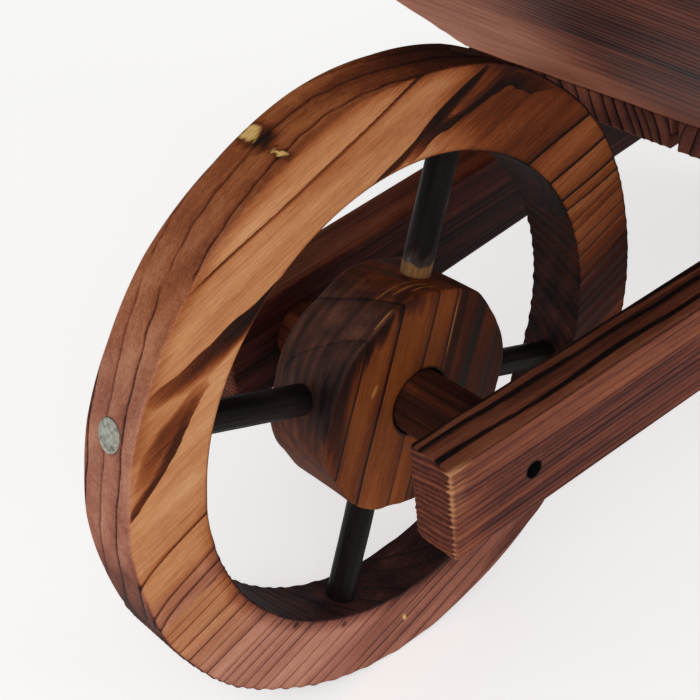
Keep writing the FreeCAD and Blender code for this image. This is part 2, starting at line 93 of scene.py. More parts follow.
def drift(points, size, seed):
    """A smooth seeded wander between about -1 and 1, with humps of the given size along each axis."""
    draw = np.random.default_rng(seed)
    total = np.zeros(len(points))
    for wave in range(8):
        heading = draw.normal(size=3)
        heading *= draw.uniform(0.6, 1.5) * 2 * np.pi / np.linalg.norm(heading)
        total += np.sin((points / np.asarray(size, float)) @ heading + draw.uniform(0, 2 * np.pi))
    return total / 4


def ring_of(outer, inner, half, edges, around, step):
    """A closed ring about the Y axis. Gives its points, faces and how far each lies on an eased edge."""
    turn = np.arange(around) * 2 * np.pi / around
    reach = outer(turn)
    across = spread(reach.mean() - inner, step, edges[0]) / (reach.mean() - inner)
    depth = spread(2 * half, step, edges[0]) / (2 * half)
    u = np.concatenate([np.zeros(len(depth) - 1), across[:-1], np.ones(len(depth) - 1), across[:0:-1]])
    v = np.concatenate([depth[:0:-1], np.zeros(len(across) - 1), depth[:-1], np.ones(len(across) - 1)])
    radius = inner + u[None] * (reach[:, None] - inner)
    level = np.broadcast_to(-half + 2 * half * v, radius.shape)
    outer_edge = np.broadcast_to(edges[1](turn)[:, None], radius.shape)
    ease = np.where(u > 0.5, outer_edge, edges[0])
    core = np.stack([np.clip(radius, inner + ease, reach[:, None] - ease),
                     np.clip(level, ease - half, half - ease)], -1)
    away = np.stack([radius, level], -1) - core
    length = np.linalg.norm(away, axis=-1, keepdims=True)
    section = core + away / np.maximum(length, 1e-9) * ease[..., None]
    worn = np.abs(away).min(-1) / np.maximum(ease, 1e-9)
    points = np.stack([section[..., 0] * np.cos(turn)[:, None], section[..., 1],
                       section[..., 0] * np.sin(turn)[:, None]], -1)
    count = len(u)
    i, j = np.meshgrid(np.arange(around), np.arange(count), indexing="ij")
    inext, jnext = (i + 1) % around, (j + 1) % count
    faces = np.stack([i * count + j, i * count + jnext, inext * count + jnext, inext * count + j], -1)
    return points.reshape(-1, 3), faces.reshape(-1, 4), worn.ravel()


def crest(age):
    """How high the brush left the wood: 0 in soft early wood, 1 on the late wood of a strong ring."""
    part = age % 1
    strength = np.random.default_rng(5).uniform(0.55, 1, YEARS)[np.floor(age).astype(int) % YEARS]
    return (0.5 - 0.5 * np.cos(2 * np.pi * part ** 2.2)) * strength


def year_at(place, lines, first=0):
    """Ring number at a place among ring lines."""
    return first + np.interp(place, lines, np.arange(len(lines)))


def spot(along, across, place, half):
    """A soft mark: 1 at its place, and less with the distance in half sizes along and across."""
    return np.exp(-((along - place[0]) / half[0]) ** 2 - ((across - place[1]) / half[1]) ** 2)


def heading_at(angle):
    """The way out from the axle at a bearing in degrees, and the way round the wheel there."""
    out = np.array([np.cos(np.radians(angle)), 0, np.sin(np.radians(angle))])
    return out, np.array([-out[2], 0, out[0]])


def fine_mesh(name, points, faces):
    """A smooth-shaded mesh of points in mm."""
    mesh = bpy.data.meshes.new(name)
    mesh.from_pydata(points * MM, [], faces, shade_flat=False)
    mesh.update()
    return mesh


def points_of(mesh):
    """The points of a mesh, in mm."""
    points = np.zeros(len(mesh.vertices) * 3)
    mesh.vertices.foreach_get("co", points)
    return points.reshape(-1, 3) / MM


def move_points(mesh, points):
    """Puts the points of a mesh in new places, in mm."""
    mesh.vertices.foreach_set("co", (points * MM).astype(np.float32).ravel())
    mesh.update()


def added(name, data):
    """A new object in the scene."""
    thing = bpy.data.objects.new(name, data)
    bpy.context.scene.collection.objects.link(thing)
    return thing


def wooden(name, mesh, grain, age, burn, worn=0.0, rosy=0.0, relief=0.3, lined=1.0, broad=1.0, torched=0.0,
           shore=0.0):
    """A brushed wooden piece. The relief goes inward, and the wood's measures, any painted shade, highlight
    and sheen among them, ride on its points.
    """
    points = points_of(mesh)
    normals = np.zeros(len(points) * 3, np.float32)
    mesh.vertex_normals.foreach_get("vector", normals)

    # How many mm of the surface one ring takes up, from the slope of the ring number on each triangle.
    mesh.calc_loop_triangles()
    corners = np.zeros(len(mesh.loop_triangles) * 3, np.int32)
    mesh.loop_triangles.foreach_get("vertices", corners)
    a, b, c = corners.reshape(-1, 3).T
    one, two = points[b] - points[a], points[c] - points[a]
    area = np.maximum(np.linalg.norm(np.cross(one, two), axis=1), 1e-9)
    rise = np.linalg.norm((age[b] - age[a])[:, None] * two - (age[c] - age[a])[:, None] * one, axis=1)
    rise[rise / area > MOST_RINGS_PER_MM] = 0
    total = sum(np.bincount(corner, rise, len(points)) for corner in (a, b, c))
    weight = sum(np.bincount(corner, area, len(points)) for corner in (a, b, c))
    pitch = np.clip(weight / np.maximum(total, 1e-9), *PITCH_RANGE) / broad

    mesh.attributes.new("grain", "FLOAT_VECTOR", "POINT").data.foreach_set(
        "vector", grain.astype(np.float32).ravel())
    for label, values in (("ring", age), ("pitch", pitch), ("burn", burn), ("worn", worn), ("rosy", rosy),
                          ("lined", lined), ("torched", torched), ("shore", shore)):
        values = np.broadcast_to(values, len(points)).astype(np.float32)
        mesh.attributes.new(label, "FLOAT", "POINT").data.foreach_set("value", values)
    move_points(mesh, points - normals.reshape(-1, 3) * (relief * (1 - crest(age)))[:, None])
    return added(name, mesh)


def scorch(along, across, path):
    """How dark the torch left the wood beside a path along the grain. Each stop of the path gives its
    place along and across, how far the burn fades on its upper and lower side, and how dark it is."""
    place, level, above, below, dark = np.array(path, float).T
    gap = across - np.interp(along, place, level)
    fade = np.where(gap > 0, np.interp(along, place, above), np.interp(along, place, below))
    return np.interp(along, place, dark, left=0, right=0) * (1 - ramp(np.abs(gap), 0.3 * fade, fade))


def linear(code):
    """An sRGB hex colour as linear red, green, blue and alpha."""
    part = np.array([int(code[i:i + 2], 16) for i in (1, 3, 5)]) / 255
    return (*np.where(part <= 0.04045, part / 12.92, ((part + 0.055) / 1.055) ** 2.4), 1)


def put(tree, kind, settings=None, result=0):
    """Adds a node, its kind told with its operation if it has one, and gives one of its outputs. A setting
    is a property of the node, by name, or for one of its inputs, by name or number, a value, an output
    that feeds it or a list of such outputs."""
    kind, _, operation = kind.partition(" ")
    node = tree.nodes.new(kind)
    if operation:
        node.operation = operation
    for key, value in (settings or {}).items():
        if isinstance(key, str) and hasattr(node, key):
            setattr(node, key, value)
        elif isinstance(value, (bpy.types.NodeSocket, list)):
            for source in value if isinstance(value, list) else [value]:
                tree.links.new(source, node.inputs[key])
        else:
            node.inputs[key].default_value = value
    return node.outputs[result] if node.outputs else node


def bare_material(name):
    """A material with no nodes yet, and its tree."""
    material = bpy.data.materials.new(name)
    material.use_nodes = True
    material.node_tree.nodes.clear()
    return material, material.node_tree


def charred_softwood(name, tones, raw, blush_and_sheen_tones=None, line=0.5, soft=0.2, streaky=0.25, mottle=0.25, gloss=0.0):
    """Torched and brushed softwood. The eye gets dark late-wood lines with one sharp side, scorch that
    runs out in points along the grain, fine fibres, paler worn edges and a faint sheen on the char."""
    material, tree = bare_material(name)
    read = {label: put(tree, "ShaderNodeAttribute", {"attribute_name": label}, "Fac")
            for label in ("ring", "pitch", "burn", "worn", "rosy", "lined", "torched", "shore")}
    grain = put(tree, "ShaderNodeAttribute", {"attribute_name": "grain"}, "Vector")

    # Streaks, fibres, toasted patches and brush marks, with their size along and across the grain in mm.
    figure, uneven = {}, {}
    for label, length, width, detail, roughness in (
            ("streak", 70, 1.5, 4.0, 0.6), ("fibre", 9, 0.5, 2.0, 0.7),
            ("patch", 45, 7, 3.0, 0.55), ("brush", 1, 14, 2.0, 0.6)):
        place = put(tree, "ShaderNodeVectorMath MULTIPLY", {0: grain, 1: (1 / length, 1 / width, 1 / width)})
        figure[label] = put(tree, "ShaderNodeTexNoise",
                            {"Vector": place, "Scale": 1.0, "Detail": detail, "Roughness": roughness})
        uneven[label] = put(tree, "ShaderNodeMath SUBTRACT", {0: figure[label], 1: 0.5})

    # A ring darkens over the last 7 mm of its wood and ends in a hard line about 1 mm wide.
    part = put(tree, "ShaderNodeMath FRACT", {0: read["ring"]})
    number = put(tree, "ShaderNodeMath FLOOR", {0: read["ring"]})
    chance = put(tree, "ShaderNodeTexWhiteNoise", {"noise_dimensions": "1D", "W": number})
    bold = put(tree, "ShaderNodeMapRange", {0: chance, 3: 0.45, 4: 1.0})
    rest = put(tree, "ShaderNodeMath SUBTRACT", {0: 1.0, 1: part})
    left = put(tree, "ShaderNodeMath MULTIPLY", {0: rest, 1: read["pitch"]})
    slow = put(tree, "ShaderNodeMapRange", {0: left, 1: 7.0, 2: 0.0})
    slow = put(tree, "ShaderNodeMath POWER", {0: slow, 1: 2.0})
    for share in (bold, read["lined"]):
        slow = put(tree, "ShaderNodeMath MULTIPLY", {0: slow, 1: share})
    hard = put(tree, "ShaderNodeMapRange", {"interpolation_type": "SMOOTHSTEP", 0: left, 1: 1.3, 2: 0.4})
    broken = put(tree, "ShaderNodeMapRange", {0: figure["streak"], 1: 0.3, 2: 0.6, 3: 0.55, 4: 1.0})
    for share in (bold, broken, read["lined"]):
        hard = put(tree, "ShaderNodeMath MULTIPLY", {0: hard, 1: share})

    # Scorch ends sharply at its shore, which the streaks fray by about 1 mm.
    frayed = put(tree, "ShaderNodeMath MULTIPLY_ADD", {0: figure["streak"], 1: 1.6, 2: read["shore"]})
    inside = put(tree, "ShaderNodeMapRange", {"interpolation_type": "SMOOTHSTEP", 0: frayed, 1: 0.4, 2: 1.3})
    scorched = put(tree, "ShaderNodeMath MULTIPLY", {0: inside, 1: read["torched"]})

    # All of it adds up to how dark the wood is burnt, with the painted shade that some pieces add, which
    # gives its tone.
    dark = put(tree, "ShaderNodeMath MAXIMUM", {0: read["burn"], 1: scorched})
    for share, source in ((streaky, uneven["streak"]), (soft, slow), (line, hard),
                          (FIBRE_SHARE, uneven["fibre"]), (mottle, uneven["patch"]),
                          (BRUSH_SHARE, uneven["brush"])):
        dark = put(tree, "ShaderNodeMath MULTIPLY_ADD", {0: source, 1: share, 2: dark})
    # A second scale of tones is mixed in by its own measure: a rosy blush on the rim, the tops of the rails,
    # and a painted sheen on the hub's side.
    shades = []
    for scale in (tones, blush_and_sheen_tones or tones):
        shades.append(put(tree, "ShaderNodeValToRGB", {0: dark}))
        stops = shades[-1].node.color_ramp.elements
        while len(stops) < len(scale):
            stops.new(0.5)
        for stop, (place, code) in zip(stops, scale):
            stop.position = place
            stop.color = linear(code)
    blushed_and_sheened = put(tree, "ShaderNodeMix",
                  {"data_type": "RGBA", 0: read["rosy"], 6: shades[0], 7: shades[1]}, 2)

    # Worn places, and the painted highlights given with the wear, show raw wood, darker where fibres are
    # torn.
    rubbed = put(tree, "ShaderNodeMath MULTIPLY_ADD", {0: uneven["fibre"], 1: 0.9, 2: read["worn"]})
    rubbed = put(tree, "ShaderNodeMapRange",
                 {"interpolation_type": "SMOOTHSTEP", 0: rubbed, 1: 0.35, 2: 0.85})
    torn = put(tree, "ShaderNodeMapRange", {0: figure["fibre"], 1: 0.45, 2: 0.75})
    bare = put(tree, "ShaderNodeMix", {"data_type": "RGBA", 0: torn, 6: linear(raw), 7: linear(TORN_WOOD)}, 2)
    colour = put(tree, "ShaderNodeMix", {"data_type": "RGBA", 0: rubbed, 6: blushed_and_sheened, 7: bare}, 2)
    rough = put(tree, "ShaderNodeMapRange", {0: dark, 1: 0.2, 2: 1.0, 3: 0.66 - gloss, 4: 0.46 - gloss})
    height = put(tree, "ShaderNodeMath MULTIPLY_ADD", {0: figure["fibre"], 1: 0.5, 2: figure["streak"]})
    bump = put(tree, "ShaderNodeBump", {"Strength": 0.5, "Distance": 0.3 * MM, "Height": height})
    shader = put(tree, "ShaderNodeBsdfPrincipled",
                 {"IOR": 1.5, "Specular IOR Level": 0.07, "Base Color": colour, "Roughness": rough,
                  "Normal": bump})
    put(tree, "ShaderNodeOutputMaterial", {0: shader})
    return material


def sawn_round(turn):
    """The rim's outer radius, with the short flats that a hand-held saw leaves."""
    return RIM_RADIUS - np.interp(np.degrees(turn) % 360, *np.transpose(SAWN_FLATS))


points, faces, worn = ring_of(sawn_round, RIM_INNER, RIM_HALF,
                              (RIM_EDGE, lambda turn: np.full_like(turn, RIM_EDGE)), RIM_STEPS, RIM_STEP)
x, y, z = points.T
along = x * np.cos(RIM_GRAIN) + z * np.sin(RIM_GRAIN)
across = z * np.cos(RIM_GRAIN) - x * np.sin(RIM_GRAIN)
grain = np.stack([along, across, y], 1)
bearing = np.degrees(np.arctan2(z, x)) % 360
reach = np.hypot(x, z)
from_tread = sawn_round(np.radians(bearing)) - reach

# Rings of the upper stave curve round a pith far behind the panel. Those of the lower one lie tilted.
low_rear = (along > 0) & (across < UPPER_PITH[0])
bent = across + 1.0 * drift(grain, (70, 60, 60), 3) + 8 * np.exp(-(along + 150) / 9)
bent += np.where(low_rear, 0.09 * (along - 120), -0.03 * along * (across > UPPER_PITH[0]))
waver = 0.4 * drift(grain, (55, 40, 40), 4)
waver += 0.5 * drift(grain, (13, 12, 12), 14) * ramp(from_tread, 1.2, 0.2)
heart = np.hypot(bent - UPPER_PITH[0], y - UPPER_PITH[1] + waver)
upper = np.where(low_rear, year_at(heart, REAR_RINGS), year_at(heart, UPPER_RINGS))
tilted = (RIM_JOINT - across - 0.8 * drift(grain, (90, 25, 25), 6)) * np.cos(LOWER_TILT)
tilted += (y + RIM_HALF) * np.sin(LOWER_TILT)
lower_rings = (RIM_JOINT - np.array(LOWER_LINES)) * np.cos(LOWER_TILT)
age = np.where(across > RIM_JOINT, upper, year_at(tilted, lower_rings, LOWER_FIRST_RING))

# Burn on the faces: pale to the front, red-brown to the rear, and scorched along two rings of the upper
# stave, between a high and a low shore where the burn stops short.
on_tread = ramp(from_tread, 1.6, 0.4)
on_inside = ramp(reach, RIM_INNER + 1.6, RIM_INNER + 0.4)
stave = ramp(across, RIM_JOINT - 0.6, RIM_JOINT + 0.6)
face_burn = 0.22 + 0.16 * ramp(along, 20, 110) + 0.26 * ramp(along, 45, 85) * ramp(across, 114, 104) * stave
face_burn += 0.16 * ramp(reach, RIM_RADIUS - 8, RIM_RADIUS) * stave * ramp(across, 60, 100)
face_burn += 0.05 * ramp(across, 106, 114) * ramp(along, -85, -60)
face_burn += 0.2 * ramp(along, 50, 78) * ramp(across, 122, 117) * ramp(across, 101, 105)
face_burn -= 0.2 * ramp(along, 85, 105) * ramp(across, 66, 40) * stave
face_burn -= 0.2 * ramp(along, 85, 105) * ramp(across, -30, -5) * (1 - stave)
face_burn += (1 - stave) * (0.06 + 0.02 * ramp(across, 0, -45) + 0.11 * ramp(along, -50, 0))
face_burn += (1 - stave) * (0.12 * ramp(along, -30, 140) + 0.08 * np.exp(-((across + 110) / 14) ** 2))
face_burn += 0.07 * ramp(along, -98, -76) * ramp(across, -97, -108)
face_burn -= 0.08 * spot(along, across, (-43, 132), (30, 8))
face_burn += 0.1 * stave * ramp(along, -95, -118) * np.exp(-((across - 18) / 9) ** 2)
face_burn += 0.12 * spot(along, across, (-104, 97), (16, 12))
face_burn += 0.05 * drift(grain, (60, 18, 30), 8)
RIM_SCORCH = (
    ((-112, 110.5, 8, 8, 0.3), (-100, 109.8, 8, 10, 0.52), (-88, 109, 8, 14, 0.66), (-76, 108.6, 8, 15, 0.8),
     (-60, 108.6, 8, 15, 0.96), (-45, 108.8, 8, 15, 1.02), (0, 110.5, 8, 12, 0.98), (30, 112, 8, 7, 0.85),
     (46, 113.2, 8, 7, 0.9), (60, 115, 8, 12, 1.0), (76, 116.6, 8, 8, 1.0), (94, 118.3, 8, 6, 0.98),
     (104, 118, 8, 3, 0.3)),
    ((-138, 66, 8, 8, 0.4), (-130, 68.4, 7, 8, 0.72), (-120, 71.5, 9, 8, 0.78), (-109, 76, 10, 8, 0.8),
     (-99, 81, 11, 8, 0.84), (-92, 86, 10, 8, 0.74), (-85, 91, 8, 8, 0.58), (-76, 95, 6, 8, 0.3)),
    ((-126, 76, 6, 8, 0.3), (-114, 84, 10, 8, 0.56), (-102, 88.5, 10, 8, 0.68), (-93, 92, 7, 6, 0.62),
     (-82, 96, 5, 4, 0.42), (-70, 99, 4, 3, 0)),
    ((40, 108.5, 3, 8, 0.4), (56, 107.3, 5, 8, 0.95), (75, 105, 5, 8, 0.98), (90, 103, 6, 8, 1.0),
     (98, 100.5, 10, 8, 1.0), (104, 95, 18, 8, 0.95), (110, 87.5, 24, 8, 0.88), (117, 83, 28, 8, 0.8),
     (126, 78, 28, 8, 0.75), (136, 68, 22, 8, 0.6), (146, 58, 10, 8, 0.4)))
HIGH_SHORE = ((-150, 114), (-106, 111), (-98, 109.8), (-84, 109), (-68, 108.5), (-45, 108.8), (0, 110.5),
              (30, 112), (46, 113.2), (60, 115), (76, 116.6), (94, 118.3), (104, 119), (150, 124))
LOW_SHORE = ((-150, 64), (-131, 67.8), (-120, 71.2), (-109, 75.8), (-99, 80.8), (-93, 84.5), (-86, 89),
             (-80, 92), (-50, 97), (-30, 98), (30, 98), (44, 105.5), (56, 106), (75, 103.8), (90, 101.8),
             (98, 99.5), (104, 94), (110, 86.5), (117, 82), (126, 77), (136, 67), (150, 50))
LOWER_SCORCH = (
    ((-40, -145, 12, 8, 0.1), (0, -142, 14, 8, 0.56), (20, -142, 12, 8, 0.7), (45, -139, 9, 8, 0.64),
     (70, -134, 8, 8, 0)),
    ((50, -72, 26, 36, 0), (105, -50, 34, 46, 0.8), (150, -42, 34, 46, 0.84)))
wander = across + 1.0 * drift(grain, (22, 7, 20), 9)
torched = np.maximum.reduce([scorch(along, wander, path) for path in RIM_SCORCH])
torched *= (1 - on_tread) * (1 - on_inside)
shore = np.minimum(np.interp(along, *np.transpose(HIGH_SHORE)) - wander,
                   wander - np.interp(along, *np.transpose(LOW_SHORE)))
face_burn = np.maximum.reduce([face_burn] + [scorch(along, wander, path) for path in LOWER_SCORCH])

# Burn on the tread, dark on top, rosy in front and grey with char below, and on the inside of the ring.
tread_burn = 0.34 + 0.15 * ramp(bearing, 158, 112) + 0.44 * ramp(bearing, 108, 74)
tread_burn += 0.38 * ramp(bearing, 178, 206) + 0.18 * ramp(bearing, 300, 360)
tread_burn += 0.06 * drift(grain, (70, 25, 12), 10)
inside_burn = 0.9 - 0.06 * ramp(z, -40, -90) + 0.09 * drift(grain, (50, 20, 15), 11)
burn = face_burn + (tread_burn - face_burn) * on_tread
burn += (inside_burn - burn) * on_inside
burn += 0.25 * ramp(reach, RIM_INNER + 9, RIM_INNER) * ramp(z, 40, -60) * (1 - on_inside)
rosy = (1 - stave) * (0.15 + 0.8 * ramp(across, 2, -45)) * ramp(along, 150, 60) * (1 - on_tread)
rosy += 0.6 * stave * ramp(across, 30, 14) * ramp(along, -95, -118) * (1 - on_tread)
rosy += on_tread * (0.3 * ramp(bearing, 112, 140) + 0.55 * ramp(bearing, 140, 165))

# Raw wood where chips have broken out of the tread, either side of a small dark knot.
arc = (bearing - CHIP_BEARING) * np.pi / 180 * RIM_RADIUS + 1.3 * drift(grain, (5, 5, 3.5), 12)
chips = np.zeros(len(points))
outline = np.zeros(len(points))
for place, half, level, depth in ((-0.5, 4.8, 10.8, 5.0), (2.0, 1.6, -8.5, 4.6)):
    chip = ((arc - place) / half) ** 4 + ((y - level + 1.2 * drift(grain, (5, 5, 4), 13)) / depth) ** 4
    chips += np.exp(-chip)
    outline += np.exp(-(chip / 4) ** 2)
knot = spot(arc, y, (0, 1.5), (5, 4))
nick = 0.8 * np.exp(-((along + 54) / 1.7) ** 2 - ((across + 117.5) / 3) ** 4) * (y < 0)
for place in ((-101, -55), (-82, -83)):
    burn += 0.4 * spot(along, across, place, (1.6, 1.3)) * (y < 0)
burn += (0.5 * knot + 0.2 * outline) * on_tread
worn = 0.25 * worn + 0.85 * chips * on_tread + nick

lined = 1 - on_tread * (0.35 - 0.5 * ramp(bearing, 125, 155)) - 0.4 * on_inside
lined += ramp(along, 60, 100) * (0.4 + 0.4 * stave * ramp(across, 76, 70))
lined *= 1 - 0.85 * spot(along, across, (-66, 135), (7, 5))
relief = RIM_RELIEF * (0.25 + 0.75 * ramp(along, -40, 60)) * (1 - 0.6 * on_tread) * (1 - 0.7 * on_inside)
relief += 0.75 * on_tread * ramp(bearing, 190, 206) * ramp(bearing, 325, 305) + 0.4 * on_inside
broad = 1 + 0.9 * stave * (1 - on_tread) + 0.4 * on_tread
rim = wooden("rim_ring", fine_mesh("rim_ring", points + WHEEL_CENTRE, faces), grain, age, burn, worn, rosy,
             relief, lined, broad, torched, shore)

# The through ends of the spokes: the tread is sunk there, so that each dowel fills a clean round hole.
rim_points = points_of(rim.data) - WHEEL_CENTRE
for angle in SPOKE_BEARINGS.values():
    out, side = heading_at(angle)
    offset = np.stack([rim_points @ side, rim_points[:, 1]], 1)
    gap = np.linalg.norm(offset, axis=1)
    here = (rim_points @ out > RIM_INNER) & (reach > RIM_RADIUS - 8)
    edge = here & (np.abs(gap - DOWEL_RADIUS - DOWEL_FIT) < 0.75)
    rim_points[edge] += ((DOWEL_RADIUS + DOWEL_FIT) / gap[edge] - 1)[:, None] * (
        offset[edge, :1] * side + offset[edge, 1:] * np.array([0, 1, 0]))
    rim_points[here & (gap < DOWEL_RADIUS - 0.5)] -= HOLE_SINK * out
move_points(rim.data, rim_points + WHEEL_CENTRE)
RIM_TONES = ((0.0, "#e2b286"), (0.22, "#c78a5c"), (0.42, "#a35e35"), (0.6, "#75391c"), (0.78, "#462011"),
             (1.0, "#1c100c"))
RIM_BLUSH = ((0.0, "#dcae99"), (0.22, "#c28b74"), (0.42, "#9c6353"), (0.6, "#6f4036"), (0.78, "#402723"),
             (1.0, "#1b1416"))
rim.data.materials.append(charred_softwood("softwood_panel_torched_and_brushed", RIM_TONES, "#f4cb7e",
                                           RIM_BLUSH, line=0.32, soft=0.15, gloss=-0.2))
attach(rim, "wheel")
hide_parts("wheel_rim")

# Hub: a block cut by hand to an octagon with full round corners, bored for the axle. Its grain runs up
# the block, and the torch has blackened the rounded side that faces up and forward.
HUB_FLAT = 53.0
HUB_CORNER = 36.0
HUB_HALF = 20.0
HUB_BORE = 15.5
HUB_EDGE = 1.8
HUB_GRAIN = np.radians(74)
HUB_LINES = (-75, -58, -41, -24, -4, 8.5, 28, 42, 56, 70, 84)
HUB_FIRST_RING = 60
HUB_STEPS, HUB_STEP = 400, 0.95
BORE_EDGE = 0.8
HALF_SIDE = np.radians(22.5)


def hub_outline(turn):
    """Distance from the axle to the hub's side: flats with a round corner between each two."""
    turn = np.abs((turn - np.radians(SPOKE_BEARINGS["upper"]) + HALF_SIDE) % (2 * HALF_SIDE) - HALF_SIDE)
    corner = (HUB_FLAT - HUB_CORNER) / np.cos(HALF_SIDE)
    lean = HALF_SIDE - turn
    rounded = corner * np.cos(lean) + np.sqrt(HUB_CORNER ** 2 - (corner * np.sin(lean)) ** 2)
    flat_end = np.arctan((HUB_FLAT - HUB_CORNER) * np.tan(HALF_SIDE) / HUB_FLAT)
    return np.where(turn < flat_end, HUB_FLAT / np.cos(turn), rounded)


def hub_rounding(turn):
    """The rounding of the hub's rims: fullest on its upper front side."""
    return HUB_EDGE + 0.8 * np.exp(-(((np.degrees(turn) - 130 + 180) % 360 - 180) / 38) ** 2)


points, faces, worn = ring_of(hub_outline, HUB_BORE, HUB_HALF, (BORE_EDGE, hub_rounding), HUB_STEPS, HUB_STEP)
x, y, z = points.T
along = x * np.cos(HUB_GRAIN) + z * np.sin(HUB_GRAIN)
across = x * np.sin(HUB_GRAIN) - z * np.cos(HUB_GRAIN)
grain = np.stack([along + 500, across, y], 1)
reach = np.hypot(x, z)
bearing = np.degrees(np.arctan2(z, x)) % 360
tilted = across + 0.35 * (y + HUB_HALF) + 0.9 * drift(grain, (60, 30, 30), 21)
age = year_at(tilted, HUB_LINES, HUB_FIRST_RING)
front = ramp(y, -HUB_HALF + 1.6, -HUB_HALF + 0.4)
side = ramp(reach, 30, 40) * (1 - front)
upper_front = np.exp(-(((bearing - 138 + 180) % 360 - 180) / 50) ** 4)
burn = 0.35 + 0.05 * drift(grain, (40, 14, 20), 22)
burn += 0.24 * ramp(tilted, 7, 11) + 0.04 * ramp(across, 30, 45)
HUB_SCORCH = (((-60, 12, 6, 3.4, 0.7), (60, 12.5, 7, 3.6, 0.8)),
              ((-60, 27, 5, 9, 0.68), (60, 27.5, 5, 10, 0.74)),
              ((-60, 46, 6, 9, 0.68), (60, 46, 6, 9, 0.72)))
burn = np.maximum.reduce([burn] + [scorch(along, tilted, path) for path in HUB_SCORCH])
burn += (0.65 + 0.1 * drift(grain, (20, 8, 8), 23) - burn) * side * (0.45 + 0.55 * upper_front)
burn += 0.13 * drift(np.stack([0.9 * bearing, y, 0 * y], 1), (30, 3, 1), 25) * side * upper_front
tongues = ramp(reach + 4 * drift(grain, (60, 4.5, 60), 24), 45, 53) * upper_front * front
burn += (0.85 - burn) * tongues
burn += 0.3 * np.exp(-((bearing - 160) / 17) ** 2) * ramp(y, -1, -13) * side
burn += 0.5 * ramp(reach, HUB_BORE + 2, HUB_BORE + 0.2)
# Painted sheen: the upper front of the side takes the greyer second tones, standing for the sheen on the
# char.
rosy = 0.8 * side * upper_front * ramp(bearing, 92, 122)
scrapes_and_highlights = 0.75 * np.exp(-((along - 9) / 4) ** 4 - ((across + 33 - 0.2 * along) / 1.5) ** 2) * front
# A thin pale line just past the ring line at 8.5 mm on the face is a painted highlight.
scrapes_and_highlights += 0.8 * np.exp(-((along - 36) / 18) ** 4 - ((tilted - 9.2) / 0.6) ** 2) * front
# Pale streaks of raw wood along the top of the side are painted highlights on its ridges.
HUB_HIGHLIGHT_STREAKS = ((96, -7, 0.06, 18, 0.66), (89, -11, 0.03, 14, 0.78), (84, -14.5, 0.0, 11, 0.7),
               (113, -17.4, 0.02, 8, 0.8))
for place, level, slant, half, bare in HUB_HIGHLIGHT_STREAKS:
    scrapes_and_highlights += bare * np.exp(-((bearing - place) / half) ** 4
                            - ((y - level - slant * (bearing - place)) / 0.8) ** 2) * ramp(reach, 40, 46)
hub = wooden("hub_block", fine_mesh("hub_block", points + WHEEL_CENTRE, faces), grain, age, burn,
             0.3 * worn * (1 - upper_front) + scrapes_and_highlights, rosy, 0.45, 1 - 0.6 * side, 1.7)
HUB_TONES = ((0.0, "#b4713a"), (0.25, "#8e4d23"), (0.45, "#693318"), (0.63, "#431f12"), (0.82, "#28130d"),
             (1.0, "#140c0a"))
# Greyer tones for the painted sheen on the char of the hub's side.
HUB_SHEEN_TONES = ((0.0, "#b58a78"), (0.25, "#8c6354"), (0.45, "#6b463b"), (0.63, "#52362e"), (0.82, "#3d2a26"),
             (1.0, "#1b1515"))
hub.data.materials.append(charred_softwood("softwood_block_torched_and_oiled", HUB_TONES, "#c08a50",
                                           HUB_SHEEN_TONES, line=0.44, soft=0.26, mottle=0.2, gloss=-0.08))
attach(hub, "wheel")
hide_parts("wheel_hub")

# Spokes: four dowels glued into the hub's sockets and driven through the rim, charred nearly black. One
# sawn end is bare and grey on the tread, and the upper one keeps a collar of raw wood above the hub.
SPOKE_START = 33.0
SPOKE_END = RIM_RADIUS - 0.2


def bare_tree(name, **sockets):
    """A new tree that takes the labelled inputs of each kind and gives a mesh. Gives it and its inputs."""
    tree = bpy.data.node_groups.new(name, "GeometryNodeTree")
    for kind, labels in sockets.items():
        for label in labels:
            tree.interface.new_socket(label, in_out="INPUT", socket_type="NodeSocket" + kind)
    tree.interface.new_socket("Mesh", in_out="OUTPUT", socket_type="NodeSocketGeometry")
    return tree, put(tree, "NodeGroupInput").node.outputs


spoke_tree, given = bare_tree("spoke_dowel", Float=("Radius", "Start", "End", "Bearing"), Vector=("Centre",),
                              Material=("Finish",))
length = put(spoke_tree, "ShaderNodeMath SUBTRACT", {0: given["End"], 1: given["Start"]})
middle = put(spoke_tree, "ShaderNodeMath MULTIPLY_ADD", {0: length, 1: 0.5, 2: given["Start"]})
lift = put(spoke_tree, "ShaderNodeCombineXYZ", {"Z": middle})
heading = put(spoke_tree, "ShaderNodeCombineXYZ", {"Y": given["Bearing"]})
dowel = put(spoke_tree, "GeometryNodeMeshCylinder",
            {"fill_type": "TRIANGLE_FAN", "Vertices": 56, "Side Segments": 130, "Fill Segments": 9,
             "Radius": given["Radius"], "Depth": length})
dowel = put(spoke_tree, "GeometryNodeTransform", {"Geometry": dowel, "Translation": lift})
dowel = put(spoke_tree, "GeometryNodeTransform",
            {"Geometry": dowel, "Rotation": heading, "Translation": given["Centre"]})
dowel = put(spoke_tree, "GeometryNodeSetShadeSmooth", {"Geometry": dowel})
dowel = put(spoke_tree, "GeometryNodeSetMaterial", {"Geometry": dowel, "Material": given["Finish"]})
put(spoke_tree, "NodeGroupOutput", {0: dowel})


